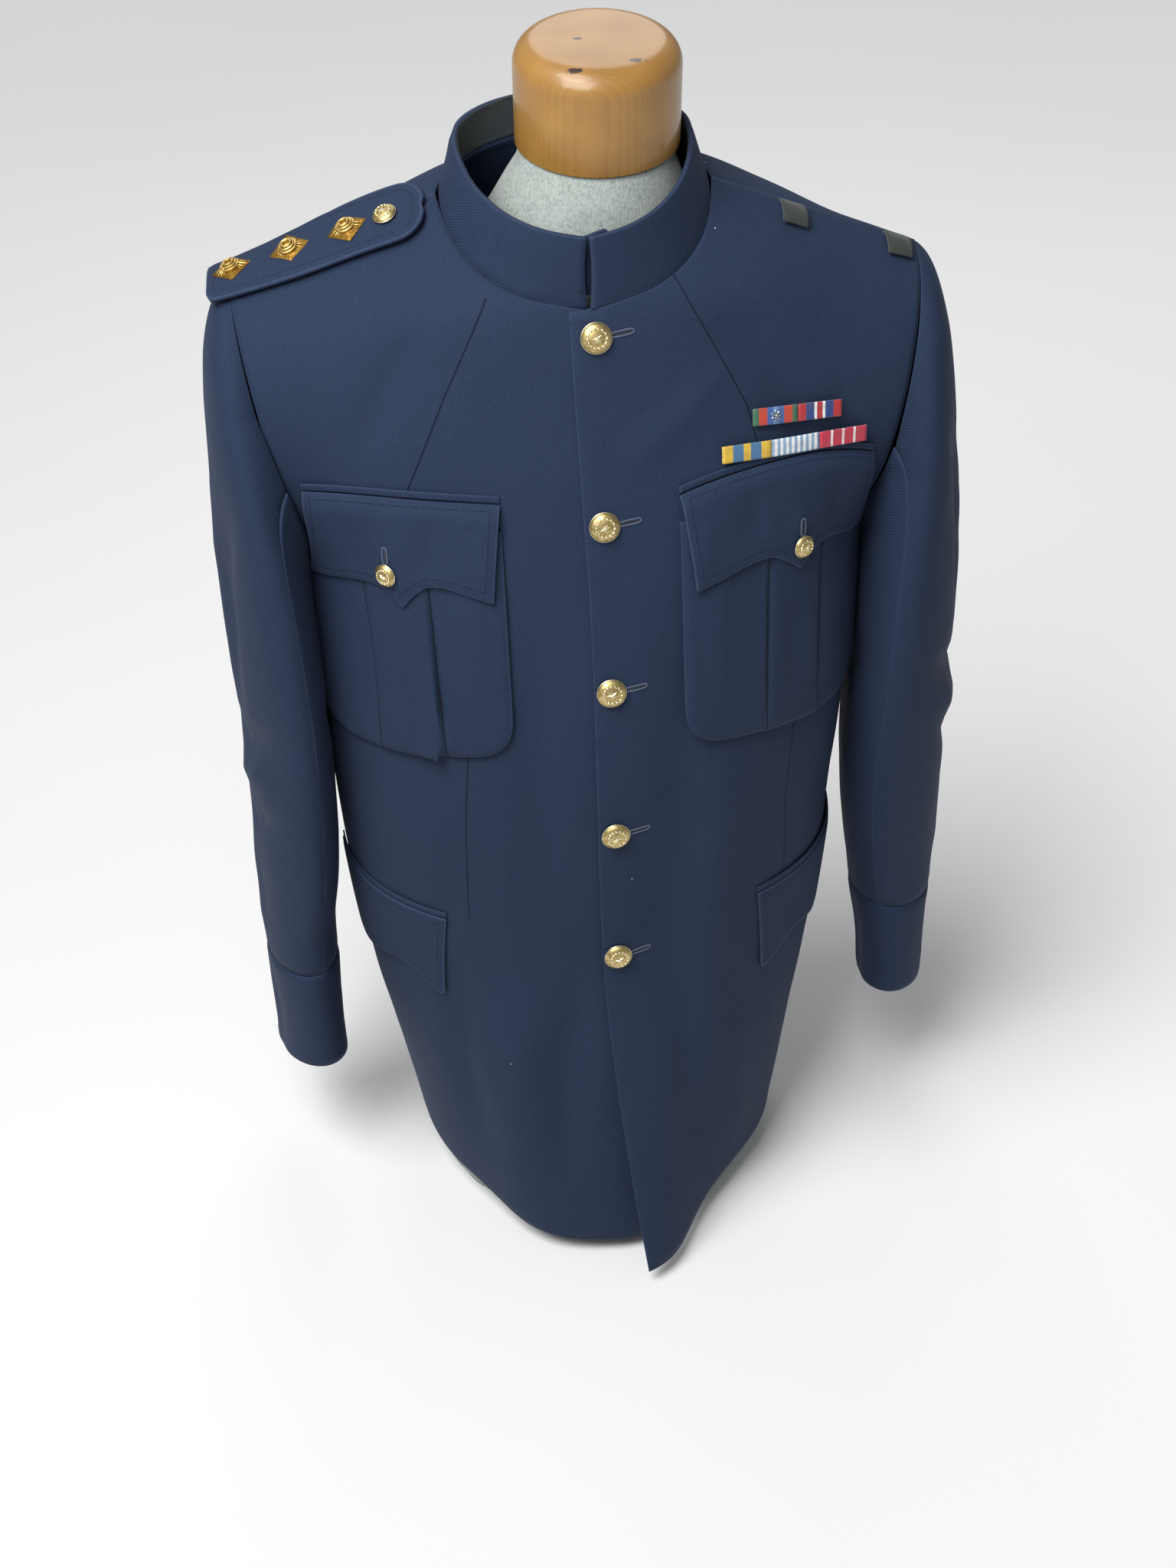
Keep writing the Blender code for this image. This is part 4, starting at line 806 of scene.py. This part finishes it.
def on_strap(node):
    """The place on the shoulder strap under a CAD node, and its upward direction."""
    place, normal, _, _ = SKINS["shoulder_strap"].ray_cast(node_middle(node) + Vector((0, 0, 0.05)),
                                                           Vector((0, 0, -1)))
    return place, normal if normal.z > 0 else -normal


# ---------------------------------------------------------------- metal pieces

def join_into(pieces, name, grounds=1, finish="gilding"):
    """Join pieces into one, with its place in its mesh. The first ones are the stamping's duller ground."""
    for number, piece in enumerate(pieces):
        piece.data.materials.clear()
        piece.data.materials.append(material_of(finish + ("_ground" if number < grounds else "_metal")))
    make_only(*pieces)
    bpy.ops.object.join()
    bpy.ops.object.transform_apply(location=True, rotation=True, scale=True)
    joined = bpy.context.active_object
    joined.name = joined.data.name = name
    bpy.ops.object.shade_smooth_by_angle(angle=math.radians(40))
    return joined


def added():
    """The object that an operator has just added."""
    return bpy.context.active_object


def turns(count, start=0):
    """The angles of things set evenly round a middle."""
    return [2 * math.pi * (step + start) / count for step in range(count)]


def add_ball(radius, place, detail, turn=0.0, scale=(1, 1, 1)):
    """Add a ball of so many segments and rings, turned and stretched."""
    bpy.ops.mesh.primitive_uv_sphere_add(segments=detail[0], ring_count=detail[1], radius=radius, location=place,
                                         rotation=(0.0, 0.0, turn))
    added().scale = scale
    return added()


def add_spike(radius, length, reach, height, turn, tilt=0.0):
    """Add a square spike that points outwards, at this reach from the middle."""
    bpy.ops.mesh.primitive_cone_add(vertices=4, radius1=radius, depth=length,
                                    location=(reach * math.cos(turn), reach * math.sin(turn), height),
                                    rotation=(0.0, math.radians(90) + tilt, turn))
    return added()


def add_ring(radius, thickness, height, detail):
    """Add a ring that lies flat."""
    bpy.ops.mesh.primitive_torus_add(major_segments=detail[0], minor_segments=detail[1], major_radius=radius,
                                     minor_radius=thickness, location=(0, 0, height))
    return added()


def model_dome(radius, height):
    """A round dome with a turned rim."""
    deselect_all()
    dome = add_ball(radius, (0, 0, 0), (48, 24))
    dome.scale.z = height / radius
    bpy.ops.object.transform_apply(location=False, rotation=False, scale=True)
    bpy.ops.object.mode_set(mode="EDIT")
    bpy.ops.mesh.select_all(action="SELECT")
    bpy.ops.mesh.bisect(plane_co=(0, 0, -height * 0.12), plane_no=(0, 0, 1), clear_inner=True, use_fill=True)
    bpy.ops.object.mode_set(mode="OBJECT")
    return [dome, add_ring(radius * 0.965, radius * 0.07, 0, (48, 10))]


def model_button(radius):
    """A domed button, its face stamped with a generic star in a ring of leaves."""
    height = radius * BUTTON_RISE

    def top(part):
        return height * math.sqrt(max(1 - part * part, 0.0))

    parts = model_dome(radius, height)
    for turn in turns(LEAVES):
        place = (LEAF_REACH * radius * math.cos(turn), LEAF_REACH * radius * math.sin(turn), top(LEAF_REACH))
        parts.append(add_ball(radius * LEAF_RADIUS, place, (10, 6), turn + LEAF_TURN, (1.25, 0.6, 0.75)))
    for turn in turns(STAR_POINTS):
        parts.append(add_spike(radius * STAR_RADIUS, radius * STAR_LENGTH, radius * STAR_REACH,
                               top(STAR_REACH) + radius * 0.01, turn))
    parts.append(add_ball(radius * LEAF_RADIUS, (0, 0, top(0) + radius * 0.02), (16, 8)))
    return join_into(parts, "button_pattern", finish="button")


def model_pip(radius):
    """A square star pip: a rayed lozenge with a round boss in three rings."""
    deselect_all()
    bpy.ops.mesh.primitive_cone_add(vertices=4, radius1=radius, radius2=radius * PIP_TOP, depth=radius * PIP_RISE,
                                    location=(0, 0, radius * PIP_RISE / 2))
    parts, slope = [added()], PIP_RISE / (1 - PIP_TOP)
    for turn in turns(PIP_RAYS, 0.5):
        length = radius * 0.97 / (abs(math.cos(turn)) + abs(math.sin(turn)))
        parts.append(add_spike(radius * 0.06, length, length / 2, radius * (slope / 2 + 0.02), turn,
                               math.atan2(slope * radius, length)))
    parts += [add_ring(radius * size, radius * 0.055, radius * height, (32, 8)) for size, height in PIP_RINGS]
    boss = add_ball(radius * 0.3, (0, 0, radius * 0.18), (24, 12), scale=(1, 1, 0.75))
    return join_into([boss, *parts], "pip_pattern", grounds=2)


def copy_to(pattern, node, matrix, slot_name="gilding_metal", finish=None):
    """A copy of a pattern piece, put in a CAD node's place, in one finish or the pattern's own two."""
    name = node + "_metal"
    mesh = pattern.data.copy()
    mesh.transform(matrix)
    if finish:
        mesh.materials.clear()
        mesh.materials.append(material_of(finish))
    mesh.name = name
    piece = bpy.data.objects.new(name, mesh)
    bpy.context.scene.collection.objects.link(piece)
    finish_piece(piece, slot_name, node)


def matrix_at(place, normal, turn=0.0):
    """The matrix that stands a piece on a place, its own Z along the normal and its X across the tunic."""
    across = (Vector((1, 0, 0)) - normal * normal.x).normalized()
    upright = Matrix((across, normal.cross(across), normal)).transposed().to_4x4()
    return Matrix.Translation(place) @ upright @ Matrix.Rotation(turn, 4, "Z")


def node_middle(node):
    """The middle of a CAD node's box."""
    low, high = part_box(node)
    return (low + high) / 2


# ---------------------------------------------------------------- operators: one for each group of pieces

class TUNIC_OT_body(bpy.types.Operator):
    """Lay the two fronts and the two halves of the back"""
    bl_idname = "tunic.body"
    bl_label = "Fronts and back"

    def execute(self, context):
        for name, cut in BODY_CUTS.items():
            make_cloth(name, cut, "gabardine", soften=14)
        return {"FINISHED"}


class TUNIC_OT_sleeves(bpy.types.Operator):
    """Hang the top sleeves, under sleeves and cuffs"""
    bl_idname = "tunic.sleeves"
    bl_label = "Sleeves and cuffs"

    def execute(self, context):
        for name, cut in SLEEVE_CUTS.items():
            make_cloth(name, cut, "gabardine", soften=10)
        return {"FINISHED"}


class TUNIC_OT_collar(bpy.types.Operator):
    """Stand the collar, with its lining and the tongue behind its ends"""
    bl_idname = "tunic.collar"
    bl_label = "Collar"

    def execute(self, context):
        for name, cut in COLLAR_CUTS.items():
            if name == "collar_lining":
                make_cloth(name, cut, "lining", "collar_lining", soften=6)
            else:
                make_cloth(name, cut, "gabardine", soften=6)
        return {"FINISHED"}


class TUNIC_OT_pockets(bpy.types.Operator):
    """Sew on the pleated breast pockets, and all flaps and welts"""
    bl_idname = "tunic.pockets"
    bl_label = "Pockets and flaps"

    def execute(self, context):
        for side in ("left", "right"):
            for prefix, cut in POCKET_CUTS.items():
                make_cloth(prefix + side, cut, "stitched" if "flap" in prefix else "gabardine")
        return {"FINISHED"}


class TUNIC_OT_strap(bpy.types.Operator):
    """Lay the shoulder strap and the two tape loops"""
    bl_idname = "tunic.strap"
    bl_label = "Strap and loops"

    def execute(self, context):
        for name, cut in STRAP_CUTS.items():
            if name == "shoulder_strap":
                make_cloth(name, cut, "stitched", upwards=True, soften=6)
            else:
                make_cloth(name, cut, "tape", "tape", upwards=True)
        return {"FINISHED"}


class TUNIC_OT_buttons(bpy.types.Operator):
    """Put the domed buttons on the front, the pockets and the strap"""
    bl_idname = "tunic.buttons"
    bl_label = "Buttons"

    def execute(self, context):
        large, small = model_button(LARGE_BUTTON_MM * MM), model_button(SMALL_BUTTON_MM * MM)
        rows = [(f"front_button_{number}", large, "left_front") for number in range(1, 6)]
        rows += [("pocket_button_left", small, "breast_flap_left"), ("pocket_button_right", small, "breast_flap_right"),
                 ("strap_button", small, "shoulder_strap")]
        for number, (node, pattern, cloth) in enumerate(rows):
            middle = node_middle(node)
            place, normal = on_strap(node) if cloth == "shoulder_strap" else on_skin(cloth, middle.x, middle.z)
            copy_to(pattern, node, matrix_at(place + normal * BUTTON_STAND_MM * MM, normal, BUTTON_TURN * number))
        for pattern in (large, small):
            bpy.data.objects.remove(pattern)
        return {"FINISHED"}


def make_tube(name, points, radius, closed, finish):
    """A thread along a row of points, as a mesh."""
    curve = bpy.data.curves.new(name, "CURVE")
    curve.dimensions, curve.bevel_depth, curve.bevel_resolution, curve.use_fill_caps = "3D", radius, 2, True
    spline = curve.splines.new("POLY")
    spline.points.add(len(points) - 1)
    spline.use_cyclic_u = closed
    for target, point in zip(spline.points, points):
        target.co = (*point, 1)
    guide = bpy.data.objects.new(name + "_guide", curve)
    bpy.context.scene.collection.objects.link(guide)
    deps = bpy.context.evaluated_depsgraph_get()
    mesh = bpy.data.meshes.new_from_object(guide.evaluated_get(deps))
    bpy.data.objects.remove(guide)
    builder = bmesh.new()
    builder.from_mesh(mesh)
    bmesh.ops.remove_doubles(builder, verts=builder.verts, dist=0.001 * MM)
    bmesh.ops.recalc_face_normals(builder, faces=builder.faces)
    piece = link_mesh(name, builder)
    piece.data.materials.append(material_of(finish))
    piece.data.shade_smooth()
    finish_piece(piece, "gabardine")


def make_hole(name, cloth, start, along, length):
    """A worked buttonhole: a ring of thread round a dark slit, laid on the cloth."""
    def laid(reach, aside, lift):
        place, normal = on_skin(cloth, start[0] + (along[0] * reach - along[1] * aside) * MM,
                                start[1] + (along[1] * reach + along[0] * aside) * MM)
        return place + normal * lift * MM

    ring = []
    for turn in turns(HOLE_STEPS):
        reach = length / 2 * (1 + math.copysign(abs(math.cos(turn)) ** 0.5, math.cos(turn)))
        aside = HOLE_WIDTH * math.copysign(abs(math.sin(turn)) ** 0.7, math.sin(turn))
        ring.append(laid(reach, aside, RING_LIFT))
    make_tube(name, ring, RING_RADIUS * MM, True, "thread")
    # the slit is a thin tube of dark lining, sunk a little into the cloth: painted shade in the cut
    parts = [SLIT_INSET + (1 - 2 * SLIT_INSET) * step / (SLIT_STEPS - 1) for step in range(SLIT_STEPS)]
    make_tube(name + "_slit", [laid(length * part, 0, -SLIT_SINK) for part in parts], SLIT_RADIUS * MM, False,
              "lining")


class TUNIC_OT_holes(bpy.types.Operator):
    """Work the buttonholes beside the front buttons and above the pocket buttons"""
    bl_idname = "tunic.holes"
    bl_label = "Buttonholes"

    def execute(self, context):
        for number in range(1, 6):
            middle = node_middle(f"front_button_{number}")
            make_hole(f"buttonhole_{number}", "left_front",
                      (middle.x + HOLE_START * MM, middle.z + HOLE_RISE * MM), HOLE_WAY, HOLE_LENGTH)
        for side in ("left", "right"):
            middle = node_middle("pocket_button_" + side)
            make_hole("flap_hole_" + side, "breast_flap_" + side, (middle.x, middle.z + SLIT_START * MM),
                      SLIT_WAY, SLIT_LENGTH)
        return {"FINISHED"}


class TUNIC_OT_pips(bpy.types.Operator):
    """Fix the three square star pips on the strap"""
    bl_idname = "tunic.pips"
    bl_label = "Rank pips"

    def execute(self, context):
        pattern = model_pip(PIP_MM * MM)
        for number in range(1, 4):
            node = f"rank_pip_{number}"
            place, normal = on_strap(node)
            copy_to(pattern, node, matrix_at(place + normal * PIP_STAND_MM * MM, normal, PIP_TURN * number))
        bpy.data.objects.remove(pattern)
        return {"FINISHED"}


class TUNIC_OT_ribbons(bpy.types.Operator):
    """Sew on the medal ribbons and the small sprig"""
    bl_idname = "tunic.ribbons"
    bl_label = "Medal ribbons"

    def execute(self, context):
        for name in STRIPES:
            make_cloth(name, RIBBON_CUT, medal_ribbon(name), "ribbon_silk")
        deselect_all()
        parts = []
        for number, turn in enumerate(turns(SPRIG_LEAVES)):
            reach = (2.3 if number else 1.6) * MM
            place = (reach * math.cos(turn), reach * math.sin(turn), 0.3 * MM)
            parts.append(add_ball(1.5 * MM, place, (12, 6), turn, (1.1, 0.5, 0.4)))
        parts.append(add_ball(1.2 * MM, (0, 0, 0.5 * MM), (12, 8)))
        pattern = join_into(parts, "sprig_pattern")
        middle = node_middle("ribbon_sprig")
        place, normal = on_skin("ribbon_upper_1", middle.x, middle.z)
        copy_to(pattern, "ribbon_sprig", matrix_at(place, normal), "white_metal", "white_metal")
        bpy.data.objects.remove(pattern)
        return {"FINISHED"}


def add_torso():
    """Smooth the CAD torso, fill its neck softly into its shoulders, and cover it in jersey."""
    builder = bmesh.new()
    builder.from_mesh(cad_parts["form_body"].data)
    builder.transform(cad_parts["form_body"].matrix_world)
    bmesh.ops.remove_doubles(builder, verts=builder.verts, dist=0.01 * MM)
    bmesh.ops.dissolve_limit(builder, angle_limit=math.radians(0.5), verts=builder.verts, edges=builder.edges)
    back_to_quads(builder)
    crease = builder.edges.layers.float.new("crease_edge")
    for edge in builder.edges:
        if edge.calc_face_angle(0.0) > math.radians(50):
            edge[crease] = 1.0
    torso = link_mesh("form_torso", builder)
    apply_modifier(torso, "SUBSURF", levels=2, render_levels=2)
    for vertex in torso.data.vertices:
        near = max(1 - ((vertex.co.z / MM - NECK_FULL_Z) / NECK_FULL_REACH) ** 2, 0.0)
        outward = Vector((vertex.co.x - CAP_BASE.x, vertex.co.y - CAP_BASE.y, 0.0)).normalized()
        vertex.co += outward * ((NECK_FULL_MM - NECK_ASIDE_MM * outward.x) * near * MM)
    torso.data.materials.append(material_of("jersey"))
    make_only(torso)
    bpy.ops.object.shade_smooth_by_angle(angle=math.radians(40))
    finish_piece(torso, "jersey", "form_body")


def add_cap():
    """Turn the wooden cap: a cylinder with a well rounded rim, a little tilted."""
    deselect_all()
    bpy.ops.mesh.primitive_cylinder_add(vertices=96, radius=CAP_RADIUS_MM * MM, depth=CAP_HEIGHT_MM * MM,
                                        location=(0, 0, CAP_HEIGHT_MM / 2 * MM))
    cap = added()
    bpy.ops.object.transform_apply(location=True)
    bpy.ops.object.mode_set(mode="EDIT")
    bpy.ops.mesh.select_all(action="DESELECT")
    bpy.ops.object.mode_set(mode="OBJECT")
    for edge in cap.data.edges:
        heights = [cap.data.vertices[vertex].co.z for vertex in edge.vertices]
        edge.select = min(heights) > (CAP_HEIGHT_MM - 1) * MM
    bpy.ops.object.mode_set(mode="EDIT")
    bpy.ops.mesh.select_mode(type="EDGE")
    bpy.ops.mesh.bevel(offset=CAP_ROUND_MM * MM, segments=10, affect="EDGES", clamp_overlap=False)
    bpy.ops.mesh.select_all(action="DESELECT")
    bpy.ops.object.mode_set(mode="OBJECT")
    cap.data.transform(Matrix.Translation(CAP_BASE) @ Matrix.Rotation(CAP_TILT, 4, "X"))
    cap.name = cap.data.name = "neck_cap_wood"
    cap.data.materials.append(material_of("pine"))
    bpy.ops.object.shade_smooth_by_angle(angle=math.radians(35))
    finish_piece(cap, "varnished_pine", "neck_cap")


class TUNIC_OT_form(bpy.types.Operator):
    """Make the jersey-covered torso and its wooden cap"""
    bl_idname = "tunic.form"
    bl_label = "Dress form"

    def execute(self, context):
        add_torso()
        add_cap()
        return {"FINISHED"}


class TUNIC_OT_stage(bpy.types.Operator):
    """Set the pale floor, the soft lights and the camera"""
    bl_idname = "tunic.stage"
    bl_label = "Stage"

    def execute(self, context):
        settings = context.scene.tunic_stage
        deselect_all()
        bpy.ops.mesh.primitive_plane_add(size=16)
        floor = added()
        floor.name = "floor"
        material, tree, shader, place = new_material("matt_paper_floor", Roughness=0.9)
        cloud = add_node(tree, "TexNoise", {"Vector": place, "Scale": 2.0, "Detail": 2.0}).outputs["Fac"]
        tree.links.new(mixed(tree, cloud, (*settings.floor, 1), linear("efefef")), shader.inputs["Base Color"])
        floor.data.materials.append(material)
        for light in LIGHTS:
            data = bpy.data.lights.new(light.name, light.kind)
            data.energy = light.power * settings.brightness
            if light.kind == "AREA":
                data.size = light.size
            else:
                data.angle = light.size
            lamp = bpy.data.objects.new(light.name, data)
            lamp.location = light.place
            lamp.rotation_euler = (LIT_PLACE - Vector(light.place)).to_track_quat("-Z", "Y").to_euler()
            context.scene.collection.objects.link(lamp)
        world = bpy.data.worlds.new("pale_room")
        world.use_nodes = True
        world.node_tree.nodes["Background"].inputs["Color"].default_value = linear("eceef0")
        world.node_tree.nodes["Background"].inputs["Strength"].default_value = 0.3 * settings.brightness
        context.scene.world = world
        context.scene.view_settings.view_transform = "Standard"
        add_camera(context.scene, settings.lens)
        return {"FINISHED"}


def add_camera(scene, lens):
    """A camera in front of the form, a little to its right and above, looking down at it."""
    pitch, yaw, roll = 0.61688, 0.09118, 0.02739
    forward = Vector((math.sin(yaw) * math.cos(pitch), math.cos(yaw) * math.cos(pitch), -math.sin(pitch)))
    level = Vector((math.cos(yaw), -math.sin(yaw), 0))
    down = forward.cross(level)
    right = level * math.cos(roll) + down * math.sin(roll)
    low = down * math.cos(roll) - level * math.sin(roll)
    data = bpy.data.cameras.new("camera")
    data.sensor_fit, data.sensor_height, data.lens = "VERTICAL", 36.0, lens
    camera = bpy.data.objects.new("camera", data)
    camera.matrix_world = Matrix((right, -low, -forward)).transposed().to_4x4()
    camera.location = (-0.114, -1.275, 1.232)
    scene.collection.objects.link(camera)
    scene.camera = camera


OPERATORS = (TUNIC_OT_body, TUNIC_OT_sleeves, TUNIC_OT_collar, TUNIC_OT_pockets, TUNIC_OT_strap, TUNIC_OT_buttons,
             TUNIC_OT_holes, TUNIC_OT_pips, TUNIC_OT_ribbons, TUNIC_OT_form, TUNIC_OT_stage)
SETTINGS = {"tunic_cloth": ClothSettings, "tunic_form": FormSettings, "tunic_stage": StageSettings}


class TUNIC_PT_panel(bpy.types.Panel):
    """The tunic's operators and settings in the sidebar"""
    bl_idname = "TUNIC_PT_panel"
    bl_label = "Dress Tunic"
    bl_space_type = "VIEW_3D"
    bl_region_type = "UI"
    bl_category = "Dress Tunic"

    def draw(self, context):
        for operator in OPERATORS:
            self.layout.operator(operator.bl_idname)
        for name, group in SETTINGS.items():
            for setting in group.__annotations__:
                self.layout.prop(getattr(context.scene, name), setting)


def register():
    for group in SETTINGS.values():
        bpy.utils.register_class(group)
    for name, group in SETTINGS.items():
        setattr(bpy.types.Scene, name, PointerProperty(type=group))
    for item in (*OPERATORS, TUNIC_PT_panel):
        bpy.utils.register_class(item)


def unregister():
    for item in (TUNIC_PT_panel, *OPERATORS):
        bpy.utils.unregister_class(item)
    for name in SETTINGS:
        delattr(bpy.types.Scene, name)
    for group in SETTINGS.values():
        bpy.utils.unregister_class(group)


def main():
    """Build everything."""
    register()
    for operator in OPERATORS:
        group, name = operator.bl_idname.split(".")
        getattr(getattr(bpy.ops, group), name)()


if __name__ == "__main__":
    main()
